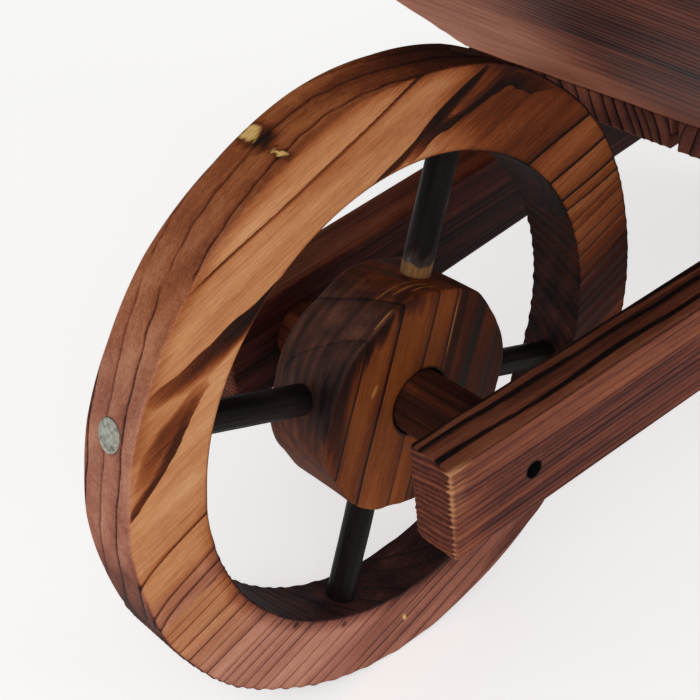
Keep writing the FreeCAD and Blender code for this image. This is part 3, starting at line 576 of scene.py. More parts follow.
def grow(name, tree, sizes, points=None, headings=None):
    """Runs a tree on a bare object, or on points with headings, and gives its result as a plain mesh."""
    seed_mesh = bpy.data.meshes.new(name)
    if points is not None:
        seed_mesh.from_pydata(points, [], [])
        seed_mesh.attributes.new("heading", "FLOAT_VECTOR", "POINT").data.foreach_set(
            "vector", np.asarray(headings, np.float32).ravel())
    host = added(name + "_host", seed_mesh)
    modifier = host.modifiers.new("tree", "NODES")
    modifier.node_group = tree
    for socket in tree.interface.items_tree:
        if socket.in_out == "INPUT" and socket.name in sizes:
            modifier[socket.identifier] = sizes[socket.name]
    evaluated = host.evaluated_get(bpy.context.evaluated_depsgraph_get())
    mesh = bpy.data.meshes.new_from_object(evaluated)
    mesh.name = name
    host.modifiers.remove(modifier)
    bpy.data.objects.remove(host)
    return mesh


SPOKE_TONES = ((0.0, "#b9b8ab"), (0.2, "#8f8c80"), (0.38, "#4a3c38"), (0.6, "#261c1a"), (0.8, "#171211"),
               (1.0, "#0d0b0b"))
spoke_black = charred_softwood("softwood_dowel_charred_black", SPOKE_TONES, "#ab7f4c", line=0.1, soft=0.05,
                               streaky=0.18, gloss=0.06)
for number, (which, angle) in enumerate(SPOKE_BEARINGS.items()):
    name = "spoke_dowel_" + which
    mesh = grow(name, spoke_tree, {"Radius": DOWEL_RADIUS * MM, "Start": SPOKE_START * MM,
                                   "End": SPOKE_END * MM, "Bearing": np.radians(90 - angle),
                                   "Centre": WHEEL_CENTRE * MM, "Finish": spoke_black})
    points = points_of(mesh) - WHEEL_CENTRE
    out, side = heading_at(angle)
    along, across, depth = points @ out, points @ side, points[:, 1]
    grain = np.stack([along + 200 * number, across, depth], 1)
    age = 8 + np.hypot(across + 9, depth + 4) / 2.6 + 0.15 * drift(grain, (40, 6, 6), 30 + number)
    end = ramp(along, SPOKE_END - 0.4, SPOKE_END - 0.05)
    burn = 0.75 + 0.1 * drift(grain, (30, 8, 8), 35 + number)
    bare = 0.06 + 0.14 * drift(grain, (20, 3, 3), 40 + number) if which == "front" else 0.66
    burn += (bare - burn) * end
    ragged = along + 1.6 * drift(grain, (9, 7, 7), 45)
    collar = ramp(ragged, 60.2, 57.6) * ramp(along, 52, 53) if which == "upper" else 0 * along
    burn -= 0.3 * ramp(ragged, 66, 60) * (which == "upper")
    spoke = wooden(name, mesh, grain, age, burn, 0.62 * collar, 0.0, 0.3 * (1 - end))
    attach(spoke, "wheel")
    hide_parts("spoke_" + which)

# Axle: a turned dowel let into both rails and held by a screw through each, stained dark by the torch.
# A paler streak of early wood runs along it.
AXLE_RADIUS = 15.0
AXLE_HALF = 69.0


def block(along, across, up):
    """A closed block of fine faces between the given grid places along its three axes."""
    axes = [np.asarray(places, float) for places in (along, across, up)]
    counts = [len(places) for places in axes]
    sides = []
    for axis in range(3):
        one, two = (axis + 1) % 3, (axis + 2) % 3
        i, j = np.meshgrid(np.arange(counts[one] - 1), np.arange(counts[two] - 1), indexing="ij")
        for level, order in ((0, -1), (counts[axis] - 1, 1)):
            corners = np.zeros(i.shape + (4, 3), int)
            corners[..., axis] = level
            corners[..., one] = i[..., None] + np.array([0, 1, 1, 0])
            corners[..., two] = j[..., None] + np.array([0, 0, 1, 1])
            sides.append(corners.reshape(-1, 4, 3)[:, ::order])
    corners = np.concatenate(sides)
    keys = np.ravel_multi_index(tuple(np.moveaxis(corners, -1, 0)), counts)
    used, faces = np.unique(keys, return_inverse=True)
    place = np.stack(np.unravel_index(used, counts), 1)
    points = np.stack([axes[k][place[:, k]] for k in range(3)], 1)
    return points, faces.reshape(-1, 4)


girth = np.linspace(-AXLE_RADIUS, AXLE_RADIUS, 31)
points, faces = block(spread(2 * AXLE_HALF, 1.2, 1) - AXLE_HALF, girth, girth)
square = np.abs(points[:, 1:]).max(1)
points[:, 1:] *= (square / np.maximum(np.hypot(points[:, 1], points[:, 2]), 1e-9))[:, None]
grain = points + np.array([900.0, 0, 0])
age = 10 + (points[:, 1] + 0.4 * points[:, 2] + 0.5 * drift(grain, (60, 10, 10), 51)) / 4.5 + 4
burn = 0.62 + 0.1 * drift(grain, (80, 9, 9), 52) - 0.22 * np.exp(-((points[:, 1] + 9) / 1.8) ** 2)
burn -= 0.16 * ramp(points[:, 0], 18, 26)
mesh = fine_mesh("axle_dowel", points[:, [1, 0, 2]] + WHEEL_CENTRE, faces[:, ::-1])
axle = wooden("axle_dowel", mesh, grain, age, burn, lined=0.3)
AXLE_TONES = ((0.0, "#99522e"), (0.3, "#783d25"), (0.5, "#50281b"), (0.7, "#331c16"), (1.0, "#160e0c"))
axle.data.materials.append(charred_softwood("softwood_dowel_stained_by_fire", AXLE_TONES, "#9a6038",
                                            line=0.3))
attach(axle, "frame")
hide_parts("axle")

# Rails: two bars that toe apart towards the rear, where each is drawn down to a rounded handle grip. The
# rings lie nearly level, so brushing leaves ridges on the ends and lines along the sides.
SLOPE, TOE = np.radians(7.66), np.radians(2.75)
CHASSIS = np.array([[np.cos(SLOPE), 0, np.sin(SLOPE)], [0, 1, 0], [-np.sin(SLOPE), 0, np.cos(SLOPE)]])
RAIL_HALF_GAP = 61.25
RAIL_FRONT, RAIL_REAR = -44.0, 915.0
RAIL_WIDTH = 25.0
RAIL_LEVEL, RAIL_HALF_HEIGHT = 2.3, 25.0
GRIP_TAPER, GRIP_START = 720.0, 790.0
GRIP_HALF_HEIGHT = 17.0
RAIL_EDGE, GRIP_EDGE = 2.6, 10.0
SCREW_HOLE = 3.9
SCREW_SINK = 10.0
RAIL_PITH = (47.8, -166.0)
RAIL_RING = 3.3
RAIL_STEP, RAIL_STEPS_BEHIND = 0.8, 360
RAIL_FINE_LENGTH, RAIL_TIP = 64.0, 12.0


def eased(points, low, high, radius):
    """Rounds the edges of a block. Gives the points and how far round an edge each one lies."""
    core = np.clip(points, low + radius, high - radius)
    away = points - core
    length = np.linalg.norm(away, axis=1, keepdims=True)
    worn = np.sort(np.abs(away), axis=1)[:, 1] / np.ravel(radius)
    return core + away / np.maximum(length, 1e-9) * radius, worn


def uneven_rings(reach, pitch, seed):
    """Ring number at a distance from the pith, where wide and narrow years follow each other."""
    widths = np.random.default_rng(seed).uniform(0.7, 1.3, YEARS) * pitch
    return year_at(reach, np.cumsum(widths))


def rail_axes(hand):
    """The ways along a rail, out from it and up, one to a row."""
    toed = [[np.cos(TOE), hand * np.sin(TOE), 0], [-np.sin(TOE), hand * np.cos(TOE), 0], [0, 0, 1]]
    return np.array(toed) @ CHASSIS


def sink_hole(points, on_face, centre, out, step):
    """Sinks a screw hole into a face, square to the barrow's middle plane. Gives 1 for each point in its
    floor and a half for each on its rim, which also sets the painted shade that darkens the hole."""
    away = points - centre
    away -= (away @ out)[:, None] * out
    gap = np.linalg.norm(away, axis=1)
    edge = on_face & (np.abs(gap - SCREW_HOLE) < 0.65 * step)
    points[edge] += (SCREW_HOLE / gap[edge] - 1)[:, None] * away[edge]
    sunk = on_face & (gap <= SCREW_HOLE - 0.65 * step)
    points[sunk] -= SCREW_SINK * out
    return sunk + 0.5 * edge


def flat_walls(mesh, faces, hole):
    """Keeps the walls of sunk holes from shading into the face round them."""
    share = (hole > 0.9)[faces].mean(1)
    mesh.polygons.foreach_set("use_smooth", (share < 0.01) | (share > 0.99))


RAIL_TONES = ((0.0, "#b67b5c"), (0.22, "#985d3f"), (0.42, "#784231"), (0.6, "#522a24"), (0.78, "#301c19"),
              (1.0, "#130c0c"))
RAIL_TOP_TONES = ((0.0, "#b57a58"), (0.22, "#925a3d"), (0.42, "#72402d"), (0.6, "#4d291e"), (0.78, "#2e1c17"),
                  (1.0, "#14100f"))
RAIL_STRIPES = (((-60, 1.6, 1.5, 2.2, 1), (60, 2, 1.5, 2, 1), (120, 3, 2, 2.4, 1), (960, 3, 2, 2, 1)),
                ((-60, 6, 1.4, 1.4, 1), (0, 7.4, 1.8, 2.4, 1.1), (50, 8.4, 2.4, 1.8, 1),
                 (110, 9.6, 1.8, 2.4, 1.1), (960, 8, 2, 2, 1)),
                ((-60, 16, 3, 3.4, 1.1), (-20, 17.4, 2, 1.8, 1), (10, 18, 1.6, 1.5, 1),
                 (50, 17.4, 2.8, 2.2, 1.1), (110, 18.2, 2, 2, 1), (960, 17, 2, 2.5, 1)))
rail_wood = charred_softwood("softwood_rail_torched_and_brushed", RAIL_TONES, "#c08a66", RAIL_TOP_TONES,
                             line=0.16, soft=0.14, streaky=0.4, mottle=0.3, gloss=-0.1)
for number, (which, hand) in enumerate((("left", -1), ("right", 1))):
    places = np.concatenate([
        RAIL_FRONT + spread(RAIL_FINE_LENGTH, RAIL_STEP, RAIL_EDGE)[:-1],
        np.linspace(RAIL_FRONT + RAIL_FINE_LENGTH, RAIL_REAR - RAIL_TIP, RAIL_STEPS_BEHIND),
        RAIL_REAR - np.linspace(RAIL_TIP - 1, 0, 14)])
    points, faces = block(places, spread(RAIL_WIDTH, RAIL_STEP, RAIL_EDGE),
                          spread(2 * RAIL_HALF_HEIGHT, RAIL_STEP, RAIL_EDGE) - RAIL_HALF_HEIGHT)
    draw_in = ramp(points[:, 0], GRIP_TAPER, GRIP_START)
    half_height = RAIL_HALF_HEIGHT + draw_in * (GRIP_HALF_HEIGHT - RAIL_HALF_HEIGHT)
    points[:, 2] *= half_height / RAIL_HALF_HEIGHT
    radius = (RAIL_EDGE + draw_in * (GRIP_EDGE - RAIL_EDGE))[:, None]
    low = np.stack([np.full_like(half_height, RAIL_FRONT), 0 * half_height, -half_height], 1)
    high = np.stack([np.full_like(half_height, RAIL_REAR), 0 * half_height + RAIL_WIDTH, half_height], 1)
    outside = points[:, 1] > RAIL_WIDTH - 0.01
    points, worn = eased(points, low, high, radius)
    x, y, z = points.T
    grain = points + np.array([1500.0 + 1200 * number, 0, 0])
    bent = points[:, 1:] + np.stack([1.5 * drift(grain, (160, 60, 60), 61 + number),
                                     1.0 * drift(grain, (120, 25, 25), 63 + number)], 1)
    age = uneven_rings(np.hypot(bent[:, 0] - RAIL_PITH[0], bent[:, 1] - RAIL_PITH[1]), RAIL_RING, 65 + number)
    on_top = ramp(z, 23.2, 24.8)
    at_end = ramp(x, RAIL_FRONT + 1.5, RAIL_FRONT + 0.3)
    burn = 0.34 + 0.09 * drift(grain, (180, 14, 4.5), 67 + number) + 0.12 * on_top
    # The far rail is darker on its sides: partly darker wood, partly painted shade.
    burn += (0.27 - 0.25 * on_top) * number
    # Painted shade on the lower half of each side, back from the front end, so the upper half looks lit.
    burn += 0.14 * ramp(z, 9, 3) * ramp(x, RAIL_FRONT + 4, RAIL_FRONT + 30)
    burn += (0.62 - 0.32 * crest(age) - burn) * at_end
    wander = y + 0.5 * drift(grain, (30, 40, 40), 69)
    for path in RAIL_STRIPES:
        burn = np.maximum(burn, scorch(x, wander, path) * on_top * (1 - number) * ramp(x, 660, 520))
    from_arris = 0.8 * (x - RAIL_FRONT) + 3 * (RAIL_WIDTH - y)
    arris = ramp(from_arris, 6, 1.5)
    corner = ramp(from_arris, 17, 2) * ramp(y, 19, 24) * (0.55 + 0.45 * ramp(z, -14, 8))
    worn = 0.3 * worn + corner * (0.32 + 0.05 * arris + 0.46 * crest(age) * (1 - 0.3 * arris))
    worn = (worn + 0.5 * at_end * crest(age) ** 3) * (1 - 0.7 * number)
    grain[:, 1] *= 1 - 0.85 * at_end
    # A paler band along the near rail's top outer edge: partly edge wear, partly a painted highlight.
    worn += 0.12 * on_top * ramp(y, 20, 24) * (1 - number)
    laid = (points + np.array([0, 0, RAIL_LEVEL])) @ rail_axes(hand) + WHEEL_CENTRE
    laid[:, 1] += hand * RAIL_HALF_GAP
    hole = sink_hole(laid, outside, WHEEL_CENTRE, np.array([0, hand, 0]), RAIL_STEP)
    # Painted shade: the screw hole's floor and rim are darkened so that it looks deep.
    burn += 0.9 * hole
    mesh = fine_mesh("rail_bar_" + which, laid, faces if hand > 0 else faces[:, ::-1])
    flat_walls(mesh, faces, hole)
    rail = wooden("rail_bar_" + which, mesh, grain, age, burn, worn, on_top,
                  0.3 + 0.6 * at_end * (1 - 0.75 * arris) - 0.15 * number, (1 - at_end) * (1 - 0.5 * number))
    rail.data.materials.append(rail_wood)
    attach(rail, "frame")
    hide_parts("rail_" + which)

# Tray: two floor boards along the barrow with a drainage joint, and four walls that splay outward from
# them, each sawn at both ends to meet its neighbours flush. All are torched and brushed boards.
BOARD_EDGE = 1.5
BOARD_GAP = 0.2


def corners_of(node, headings):
    """The eight corners that a board's six main faces would meet in, before its edges were eased."""
    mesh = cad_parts[node].data
    mesh.calc_loop_triangles()
    places = points_of(mesh)
    planes = []
    for triangle in mesh.loop_triangles:
        a, b, c = places[list(triangle.vertices)]
        area = np.cross(b - a, c - a) / 2
        size = np.linalg.norm(area)
        if size < 1e-6:
            continue
        normal = area / size
        for plane in planes:
            if plane[0] @ normal > 0.9998 and abs(plane[0] @ a - plane[1]) < 0.05:
                plane[2] += size
                break
        else:
            planes.append([normal, normal @ a, size])
    planes = sorted(planes, key=lambda plane: -plane[2])[:6]
    fits = sorted(((plane[0] @ headings[axis] * sign, axis, sign, number)
                   for number, plane in enumerate(planes) for axis in range(3) for sign in (-1, 1)),
                  reverse=True)
    chosen, taken = {}, set()
    for fit, axis, sign, number in fits:
        if (axis, sign) not in chosen and number not in taken:
            chosen[axis, sign] = planes[number]
            taken.add(number)
    corners = np.zeros((2, 2, 2, 3))
    for i, j, k in np.ndindex(2, 2, 2):
        three = [chosen[axis, 2 * end - 1] for axis, end in enumerate((i, j, k))]
        corners[i, j, k] = np.linalg.solve(np.array([plane[0] for plane in three]),
                                           [plane[1] for plane in three])
    return corners


def board(name, node, headings, steps, edge, tree, burn, relief, finish, rubbed=0.4, slant=0.0,
          lined=1.0, holes=()):
    """A board in the place of a solid: brushed relief on every face, rings round its own pith. Its burn
    and how plain its lines are may be numbers or depend on the place in the board."""
    corners = corners_of(node, np.array(headings, float))
    size = np.array([np.linalg.norm(np.diff(corners, axis=axis), axis=-1).max() for axis in range(3)])
    points, faces = block(*(spread(size[axis], steps[axis], edge) for axis in range(3)))
    outside = points[:, 1] > size[1] - 0.01
    points, worn = eased(points, np.zeros(3), size, edge)
    part = BOARD_GAP / size + points / size * (1 - 2 * BOARD_GAP / size)
    weights = [np.stack([1 - part[:, axis], part[:, axis]], 1) for axis in range(3)]
    laid = np.einsum("ni,nj,nk,ijkd->nd", *weights, corners)
    pith, pitch, seed = tree
    grain = points + np.array([700.0 * seed, 40 * seed, 0])
    bent = points + np.stack([0 * points[:, 0], 2.0 * drift(grain, (170, 60, 60), seed),
                              1.5 * drift(grain, (140, 40, 40), seed + 1) - slant * points[:, 0]], 1)
    age = uneven_rings(np.hypot(bent[:, 1] - pith[0], bent[:, 2] - pith[1]), pitch, seed + 2)
    flip = np.linalg.det(np.stack([corners[1, 0, 0] - corners[0, 0, 0], corners[0, 1, 0] - corners[0, 0, 0],
                                   corners[0, 0, 1] - corners[0, 0, 0]])) < 0
    hole = np.zeros(len(points))
    for centre, out in holes:
        hole += sink_hole(laid, outside, centre, out, max(steps[0], steps[2]))
    mesh = fine_mesh(name, laid, faces[:, ::-1] if flip else faces)
    flat_walls(mesh, faces, hole)
    at_end = np.maximum(ramp(points[:, 0], 1.5, 0.3), ramp(points[:, 0], size[0] - 1.5, size[0] - 0.3))
    burn, lined = (value(points, size) if callable(value) else value for value in (burn, lined))
    shade = burn + 0.09 * drift(grain, (190, 26, 26), seed + 3)
    # Painted shade darkens the floor and rim of each screw hole.
    shade += at_end * (0.08 - 0.14 * crest(age)) + 0.9 * hole
    piece = wooden(name, mesh, grain, age, shade, rubbed * worn, 0.0, relief * (1 + at_end), lined)
    piece.data.materials.append(finish)
    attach(piece, "frame")
    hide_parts(node)


ALONG, SIDEWAYS, UP = CHASSIS
TRAY_TONES = ((0.0, "#bd7e64"), (0.22, "#9a5e48"), (0.42, "#764437"), (0.6, "#512e28"), (0.8, "#311e1b"),
              (1.0, "#150e0e"))
tray_wood = charred_softwood("softwood_board_torched_and_brushed", TRAY_TONES, "#b27d60", line=0.14,
                             soft=0.22)
for number, which in enumerate(("left", "right")):
    board("floor_plank_" + which, "floor_board_" + which, (ALONG, SIDEWAYS, UP), (3.2, 0.8, 0.8),
          BOARD_EDGE, ((-90 + 330 * number, -70), 7.0, 80 + 10 * number),
          lambda points, size: 0.45 - 0.13 * ramp(points[:, 0], 1.5, 0.3), 0.4, tray_wood,
          lined=lambda points, size: 1 + 1.8 * ramp(points[:, 0], 1.5, 0.3))


def front_burn(points, size):
    """The front wall: pale towards its far end, darker over its near half and along the near top, where one
    pass of the torch left a scorched band.
    """
    level = points[:, 0] - size[0] / 2
    shade = 0.13 + 0.28 * ramp(level, 75, -20) + 0.1 * ramp(points[:, 2], 60, 140) * ramp(level, 80, 0)
    return np.maximum(shade, scorch(-level, points[:, 2], ((-40, 112, 9, 8, 0.3), (10, 106, 12, 10, 0.62),
                                                           (60, 100, 14, 12, 0.66), (200, 96, 14, 12, 0.6))))


LEAN = np.radians(45)
FRONT_UP = UP * np.cos(LEAN) - ALONG * np.sin(LEAN)
FRONT_OUT = -ALONG * np.cos(LEAN) - UP * np.sin(LEAN)
board("front_board", "front_wall", (SIDEWAYS, FRONT_OUT, FRONT_UP), (3.0, 1.1, 0.95), BOARD_EDGE,
      ((-70, -45), 5.4, 100), front_burn, 0.3, tray_wood, slant=0.25,
      lined=lambda points, size: 0.35 + 0.65 * ramp(points[:, 0] - size[0] / 2, 60, -10))
SPLAY = np.radians(20)
REAR_UP = UP * np.cos(SPLAY) + ALONG * np.sin(SPLAY)
REAR_OUT = ALONG * np.cos(SPLAY) - UP * np.sin(SPLAY)
board("rear_board", "rear_wall", (SIDEWAYS, REAR_OUT, REAR_UP), (3.4, 1.1, 1.1), BOARD_EDGE,
      ((-50, 60), 4.6, 110), 0.42, 0.35, tray_wood)
for number, (which, hand) in enumerate((("left", -1), ("right", 1))):
    side_up = UP * np.cos(SPLAY) + hand * SIDEWAYS * np.sin(SPLAY)
    side_out = hand * SIDEWAYS * np.cos(SPLAY) - UP * np.sin(SPLAY)
    board("side_board_" + which, "side_wall_" + which, (ALONG, side_out, side_up),
          (3.6, 1.2, 1.15), BOARD_EDGE, ((-70, 50 + 40 * number), 4.4, 120 + 10 * number), 0.42, 0.35,
          tray_wood)

# Corner cleats: square battens up the inside corners of the tray, sawn to the slope of the walls that are
# fixed to them. They are plain softwood, lightly torched.
cleat_wood = charred_softwood("softwood_batten_torched", TRAY_TONES, "#a8754f", line=0.25, soft=0.2)
for number, (end, lean) in enumerate((("front", -1), ("rear", 1))):
    for hand, which in ((-1, "left"), (1, "right")):
        name = f"{end}_{which}"
        rise = UP + ALONG * lean * np.tan(LEAN if end == "front" else SPLAY) + SIDEWAYS * hand * np.tan(SPLAY)
        board("cleat_" + name, "corner_cleat_" + name,
              (rise / np.linalg.norm(rise), SIDEWAYS, ALONG), (2.5, 1.0, 1.0), 0.8,
              ((60, -45), 3.4, 140 + 20 * number + 5 * hand), 0.5, 0.3, cleat_wood)

# Legs and crossbar: two raked boards bolted to the rails' outer faces and sawn level at the ground, with
# a bar between them, held by two screws sunk deep in each leg.
LEG_RAKE = np.radians(8)
CROSS_PITCH = 22.0
leg_wood = charred_softwood("softwood_leg_torched_and_brushed", RAIL_TONES, "#b07a58", line=0.3, soft=0.25)
cross_low, cross_high = (np.array(corner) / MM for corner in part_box("crossbar_screws"))
cross_middle = (cross_low + cross_high) / 2
cross_seats = [cross_middle + UP * CROSS_PITCH / 2 * sign for sign in (-1, 1)]
for number, (which, hand) in enumerate((("left", -1), ("right", 1))):
    rail_along, rail_out, rail_up = rail_axes(hand)
    leg_up = rail_up * np.cos(LEG_RAKE) - rail_along * np.sin(LEG_RAKE)
    leg_fore = rail_along * np.cos(LEG_RAKE) + rail_up * np.sin(LEG_RAKE)
    board("leg_post_" + which, "leg_" + which, (leg_up, rail_out, leg_fore), (0.9, 0.9, 0.9), 2.0,
          ((-60, 30), 3.8, 170 + 10 * number), lambda points, size: 0.42 + 0.2 * ramp(points[:, 0], 40, 0),
          0.4, leg_wood, holes=[(seat, np.array([0, hand, 0])) for seat in cross_seats])
board("crossbar_batten", "leg_crossbar", (SIDEWAYS, ALONG, UP), (1.8, 0.9, 0.9), BOARD_EDGE,
      ((-30, -50), 3.6, 190), 0.46, 0.35, leg_wood)

# Screws: cross-head pan screws that hold the axle in the rails, the crossbar in the legs and the floor on
# the rails. They are zinc-plated steel, cold-headed and dulled by the weather.
SCREW_HEAD, SCREW_HEAD_HEIGHT = 7.4, 2.5
SCREW_SHANK, SCREW_GRIP = 4.5, 29.8
FLOOR_STATIONS = (273.6, 392.1, 517.0)
FLOOR_TOP = 45.3
CRISP_ANGLE = 0.55
zinc, zinc_tree = bare_material("steel_zinc_plated_and_dulled")
# White bloom about 1.5 mm across spreads on the plating, which takes the mirror off the metal.
place = put(zinc_tree, "ShaderNodeTexCoord", result="Object")
bloom = put(zinc_tree, "ShaderNodeTexNoise", {"Vector": place, "Scale": 1 / (1.5 * MM), "Detail": 3.0})
sheen = put(zinc_tree, "ShaderNodeMapRange", {0: bloom, 1: 0.35, 2: 0.7, 3: 0.34, 4: 0.6})
tint = put(zinc_tree, "ShaderNodeMix",
           {"data_type": "RGBA", 0: bloom, 6: linear("#8f9194"), 7: linear("#b4b3ad")}, 2)
plated = put(zinc_tree, "ShaderNodeBsdfPrincipled", {"Metallic": 1.0, "Base Color": tint, "Roughness": sheen})
put(zinc_tree, "ShaderNodeOutputMaterial", {0: plated})


def set_out(tree, given, pieces):
    """Ends a fixing's tree: its pieces are set on each point, made real, shaded and given their finish."""
    whole = put(tree, "GeometryNodeJoinGeometry", {0: pieces})
    turn = put(tree, "GeometryNodeInputNamedAttribute", {"data_type": "FLOAT_VECTOR", "Name": "heading"})
    turn = put(tree, "FunctionNodeEulerToRotation", {0: turn})
    laid = put(tree, "GeometryNodeInstanceOnPoints",
               {"Points": given["Places"], "Instance": whole, "Rotation": turn})
    real = put(tree, "GeometryNodeRealizeInstances", {"Geometry": laid})
    smooth = put(tree, "GeometryNodeSetShadeSmooth", {"Geometry": real})
    bend = put(tree, "GeometryNodeInputMeshEdgeAngle", result="Unsigned Angle")
    crisp = put(tree, "FunctionNodeCompare GREATER_THAN", {0: bend, 1: CRISP_ANGLE})
    shaded = put(tree, "GeometryNodeSetShadeSmooth",
                 {"domain": "EDGE", "Shade Smooth": False, "Geometry": smooth, "Selection": crisp})
    painted = put(tree, "GeometryNodeSetMaterial", {"Geometry": shaded, "Material": given["Finish"]})
    put(tree, "NodeGroupOutput", {0: painted})


def headed_fixing(name, recessed):
    """A tree that seats a round-headed screw or bolt on each point, along its heading."""
    tree, given = bare_tree(name, Geometry=("Places",), Material=("Finish",), Float=(
        "Head Radius", "Head Height", "Fullness", "Shank Radius", "Grip", "Point", "Tip Radius"))

    # The head is a ball flattened below and filled out towards its rim.
    ball = put(tree, "GeometryNodeMeshUVSphere", {"Segments": 32, "Rings": 20, "Radius": 1.0})
    here = put(tree, "GeometryNodeInputPosition")
    flat = put(tree, "ShaderNodeVectorMath MULTIPLY", {0: here, 1: (1, 1, 0)})
    reach = put(tree, "ShaderNodeVectorMath LENGTH", {0: flat}, "Value")
    reach = put(tree, "ShaderNodeMath MAXIMUM", {0: reach, 1: 0.001})
    less = put(tree, "ShaderNodeMath SUBTRACT", {0: given["Fullness"], 1: 1.0})
    fill = put(tree, "ShaderNodeMath POWER", {0: reach, 1: less})
    fill = put(tree, "ShaderNodeMath MULTIPLY", {0: fill, 1: given["Head Radius"]})
    wide = put(tree, "ShaderNodeVectorMath SCALE", {0: flat, "Scale": fill})
    level = put(tree, "ShaderNodeSeparateXYZ", {0: here}, "Z")
    level = put(tree, "ShaderNodeMath MAXIMUM", {0: level, 1: 0.0})
    level = put(tree, "ShaderNodeMath MULTIPLY", {0: level, 1: given["Head Height"]})
    tall = put(tree, "ShaderNodeCombineXYZ", {"Z": level})
    shape = put(tree, "ShaderNodeVectorMath ADD", {0: wide, 1: tall})
    head = put(tree, "GeometryNodeSetPosition", {"Geometry": ball, "Position": shape})
    head = put(tree, "GeometryNodeMergeByDistance", {"Geometry": head, "Distance": 0.02 * MM})
    top = put(tree, "ShaderNodeCombineXYZ", {"Z": given["Head Height"]})
    for turn in (0.0, np.pi / 2) if recessed else ():
        slot = put(tree, "ShaderNodeVectorMath SCALE", {0: (1.1, 0.3, 0.8), "Scale": given["Head Radius"]})
        slot = put(tree, "GeometryNodeMeshCube", {"Size": slot})
        slot = put(tree, "GeometryNodeTransform",
                   {"Geometry": slot, "Translation": top, "Rotation": (0, 0, turn)})
        head = put(tree, "GeometryNodeMeshBoolean DIFFERENCE", {"Mesh 1": head, "Mesh 2": slot})

    # The shank, and the taper that it ends in.
    straight = put(tree, "ShaderNodeMath SUBTRACT", {0: given["Grip"], 1: given["Point"]})
    shank = put(tree, "GeometryNodeMeshCylinder",
                {"Vertices": 24, "Radius": given["Shank Radius"], "Depth": straight})
    taper = put(tree, "GeometryNodeMeshCone",
                {"Vertices": 24, "Radius Bottom": given["Shank Radius"], "Radius Top": given["Tip Radius"],
                 "Depth": given["Point"]})
    pieces = [head]
    for piece, share, turn in ((shank, -0.5, 0), (taper, -1.0, np.pi)):
        drop = put(tree, "ShaderNodeMath MULTIPLY", {0: straight, 1: share})
        drop = put(tree, "ShaderNodeCombineXYZ", {"Z": drop})
        pieces.append(put(tree, "GeometryNodeTransform",
                          {"Geometry": piece, "Translation": drop, "Rotation": (turn, 0, 0)}))
    set_out(tree, given, pieces)
    return tree


def fixings(name, node, tree, sizes, seats):
    """Sets fixings on seats, each a place in mm and the way the head points, turned at random."""
    spin = np.random.default_rng(len(name)).uniform(0, np.pi, len(seats))
    turns = [Vector(out).to_track_quat("Z", "Y") @ Quaternion((0, 0, 1), angle)
             for (place, out), angle in zip(seats, spin)]
    mesh = grow(name, tree, {**{label: size * MM for label, size in sizes.items()}, "Finish": zinc,
                             "Fullness": sizes.get("Fullness", 1.0)},
                [np.asarray(place) * MM for place, out in seats], [turn.to_euler() for turn in turns])
    piece = added(name, mesh)
    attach(piece, "frame")
    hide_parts(node)


screw_tree = headed_fixing("pan_head_screw", True)
SCREW_SIZES = {"Head Radius": SCREW_HEAD / 2, "Head Height": SCREW_HEAD_HEIGHT, "Fullness": 0.5,
               "Shank Radius": SCREW_SHANK / 2, "Grip": SCREW_GRIP, "Point": 7.0, "Tip Radius": 0.3}
axle_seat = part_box("axle_screws")[1][1] / MM - SCREW_HEAD_HEIGHT
fixings("axle_pan_screws", "axle_screws", screw_tree, SCREW_SIZES,
        [(WHEEL_CENTRE + np.array([0, hand * axle_seat, 0]), (0, hand, 0)) for hand in (-1, 1)])
cross_seat = cross_high[1] - SCREW_HEAD_HEIGHT
fixings("crossbar_pan_screws", "crossbar_screws", screw_tree, SCREW_SIZES,
        [(seat + np.array([0, hand * cross_seat, 0]), (0, hand, 0))
         for hand in (-1, 1) for seat in cross_seats])


def on_rail(hand, along, out, up):
    """A place beside a rail: along it from the axle, out from its inner face, and up."""
    start = WHEEL_CENTRE + np.array([0, hand * RAIL_HALF_GAP, 0])
    return start + np.array([along, out, up]) @ rail_axes(hand)


fixings("floor_pan_screws", "floor_screws", screw_tree, SCREW_SIZES,
        [(on_rail(hand, station, RAIL_WIDTH / 2, FLOOR_TOP), UP)
         for hand in (-1, 1) for station in FLOOR_STATIONS])

# Leg bolts: round-headed coach bolts through each leg and its rail, with a washer and a hexagon nut on the
# rail's inner face, of the same plated steel.
LEG_STATION = 530.0
LEG_FACE = 50.0
BOLT_RISE = 12.0
BOLT_SIZES = {"Head Radius": 8.0, "Head Height": 4.5, "Fullness": 0.9, "Shank Radius": 3.0, "Grip": 59.0,
              "Point": 1.0, "Tip Radius": 2.3}
NUT_SIZES = {"Corner Radius": 5.0 / np.cos(np.pi / 6), "Nut Height": 5.0, "Washer Radius": 8.0,
             "Washer Thickness": 1.5, "Bore Radius": 3.1}
bolt_seats, nut_seats = [], []
for hand in (-1, 1):
    for rise in (-BOLT_RISE, BOLT_RISE):
        station = LEG_STATION - rise * np.tan(LEG_RAKE)
        bolt_seats.append((on_rail(hand, station, LEG_FACE, RAIL_LEVEL + rise), rail_axes(hand)[1]))
        nut_seats.append((on_rail(hand, station, 0, RAIL_LEVEL + rise), -rail_axes(hand)[1]))
fixings("leg_coach_bolts", "leg_bolts", headed_fixing("coach_bolt", False), BOLT_SIZES, bolt_seats)

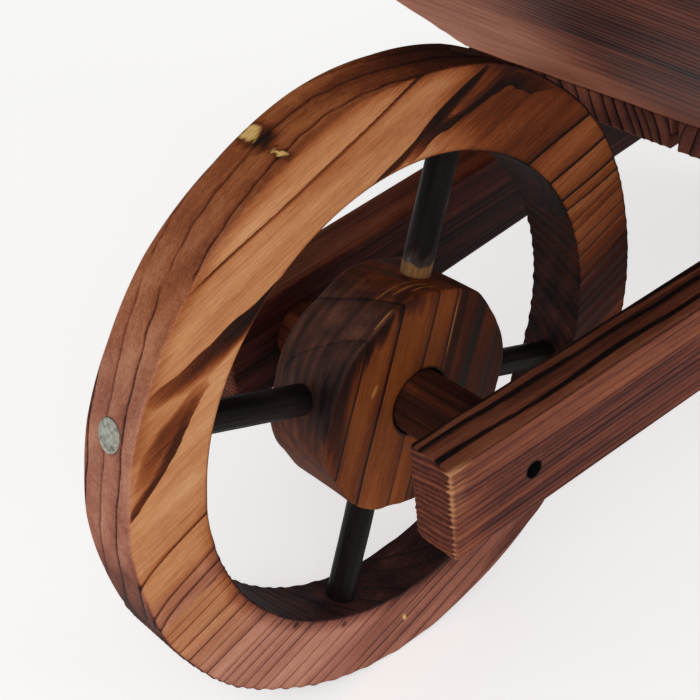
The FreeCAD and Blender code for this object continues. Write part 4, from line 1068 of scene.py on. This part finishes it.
nut_tree, given = bare_tree("nut_on_washer", Geometry=("Places",), Material=("Finish",), Float=(
    "Corner Radius", "Nut Height", "Washer Radius", "Washer Thickness", "Bore Radius"))
half = put(nut_tree, "ShaderNodeMath MULTIPLY", {0: given["Nut Height"], 1: 0.5})
rise = put(nut_tree, "ShaderNodeMath ADD", {0: half, 1: given["Washer Thickness"]})
flat = put(nut_tree, "ShaderNodeMath MULTIPLY", {0: given["Washer Thickness"], 1: 0.5})
foot, crown = (put(nut_tree, "ShaderNodeMath MULTIPLY", {0: given["Corner Radius"], 1: share})
               for share in (1.4, 0.88))
hexagon = put(nut_tree, "GeometryNodeMeshCylinder",
              {"Vertices": 6, "Radius": given["Corner Radius"], "Depth": given["Nut Height"]})
bevel = put(nut_tree, "GeometryNodeMeshCone",
            {"Vertices": 48, "Radius Bottom": foot, "Radius Top": crown, "Depth": given["Nut Height"]})
washer = put(nut_tree, "GeometryNodeMeshCylinder",
             {"Vertices": 40, "Radius": given["Washer Radius"], "Depth": given["Washer Thickness"]})
raised = []
for piece, level in ((hexagon, rise), (bevel, given["Washer Thickness"]), (washer, flat)):
    lift = put(nut_tree, "ShaderNodeCombineXYZ", {"Z": level})
    raised.append(put(nut_tree, "GeometryNodeTransform", {"Geometry": piece, "Translation": lift}))
nut = put(nut_tree, "GeometryNodeMeshBoolean INTERSECT", {"Mesh 2": raised[:2]})
deep = put(nut_tree, "ShaderNodeMath MULTIPLY", {0: given["Nut Height"], 1: 6.0})
drill = put(nut_tree, "GeometryNodeMeshCylinder",
            {"Vertices": 32, "Radius": given["Bore Radius"], "Depth": deep})
bored = [put(nut_tree, "GeometryNodeMeshBoolean DIFFERENCE", {"Mesh 1": piece, "Mesh 2": drill})
         for piece in (nut, raised[2])]
set_out(nut_tree, given, bored)
fixings("leg_hexagon_nuts", "leg_nuts", nut_tree, NUT_SIZES, nut_seats)

# Stage: a floor of white paper that glows a little, a white surround and two soft lamps, with the camera
# where the picture was taken from.
FLOOR_HALF = 300
floor_mesh = bpy.data.meshes.new("studio_floor")
floor_mesh.from_pydata([(x * FLOOR_HALF, y * FLOOR_HALF, 0) for x, y in ((-1, -1), (1, -1), (1, 1), (-1, 1))],
                       [], [(0, 1, 2, 3)])
studio_floor = added("studio_floor", floor_mesh)
paper = bpy.data.materials.new("white_paper_sweep")
paper.use_nodes = True
paper_shader = paper.node_tree.nodes["Principled BSDF"]
paper_shader.inputs["Base Color"].default_value = linear("#f4f3f1")
paper_shader.inputs["Roughness"].default_value = 0.9
paper_shader.inputs["Emission Color"].default_value = (1, 1, 1, 1)
paper_shader.inputs["Emission Strength"].default_value = 0.5
floor_mesh.materials.append(paper)

surround = bpy.data.worlds.new("white_surround")
surround.use_nodes = True
surround.node_tree.nodes["Background"].inputs["Color"].default_value = (1, 1, 1, 1)
surround.node_tree.nodes["Background"].inputs["Strength"].default_value = 0.4
bpy.context.scene.world = surround


def facing(place, back):
    """The pose of a lamp or camera at a place, held level, with the given heading behind it."""
    back = back / np.linalg.norm(back)
    right = np.cross((0, 0, 1), back)
    right /= np.linalg.norm(right)
    turned = np.stack([right, np.cross(back, right), back], 1)
    return Matrix([[*row, at] for row, at in zip(turned, place)] + [[0, 0, 0, 1]])


for label, place, aim, size, power in (("softbox_left", (-2.2, -1.6, 2.0), (-0.3, 0, 0.2), 1.6, 22),
                                       ("softbox_right", (0.8, -2.4, 1.4), (-0.2, 0, 0.2), 1.4, 10)):
    light = bpy.data.lights.new(label, "AREA")
    light.size = size
    light.energy = power
    added(label, light).matrix_world = facing(place, np.subtract(place, aim))

VIEW_AZIMUTH, VIEW_ELEVATION = np.radians(-41.87), np.radians(32.02)
CAMERA_PLACE = (-0.7302, -0.3667, 0.4852)
lens = bpy.data.cameras.new("photo_camera")
lens.lens = 69.88
lens.sensor_width = 36
lens.clip_start = 0.01
camera = added("photo_camera", lens)
camera.matrix_world = facing(CAMERA_PLACE, np.array([
    np.sin(VIEW_AZIMUTH) * np.cos(VIEW_ELEVATION), -np.cos(VIEW_AZIMUTH) * np.cos(VIEW_ELEVATION),
    np.sin(VIEW_ELEVATION)]))
bpy.context.scene.camera = camera
bpy.context.scene.view_settings.view_transform = "Standard"

bpy.context.view_layer.update()
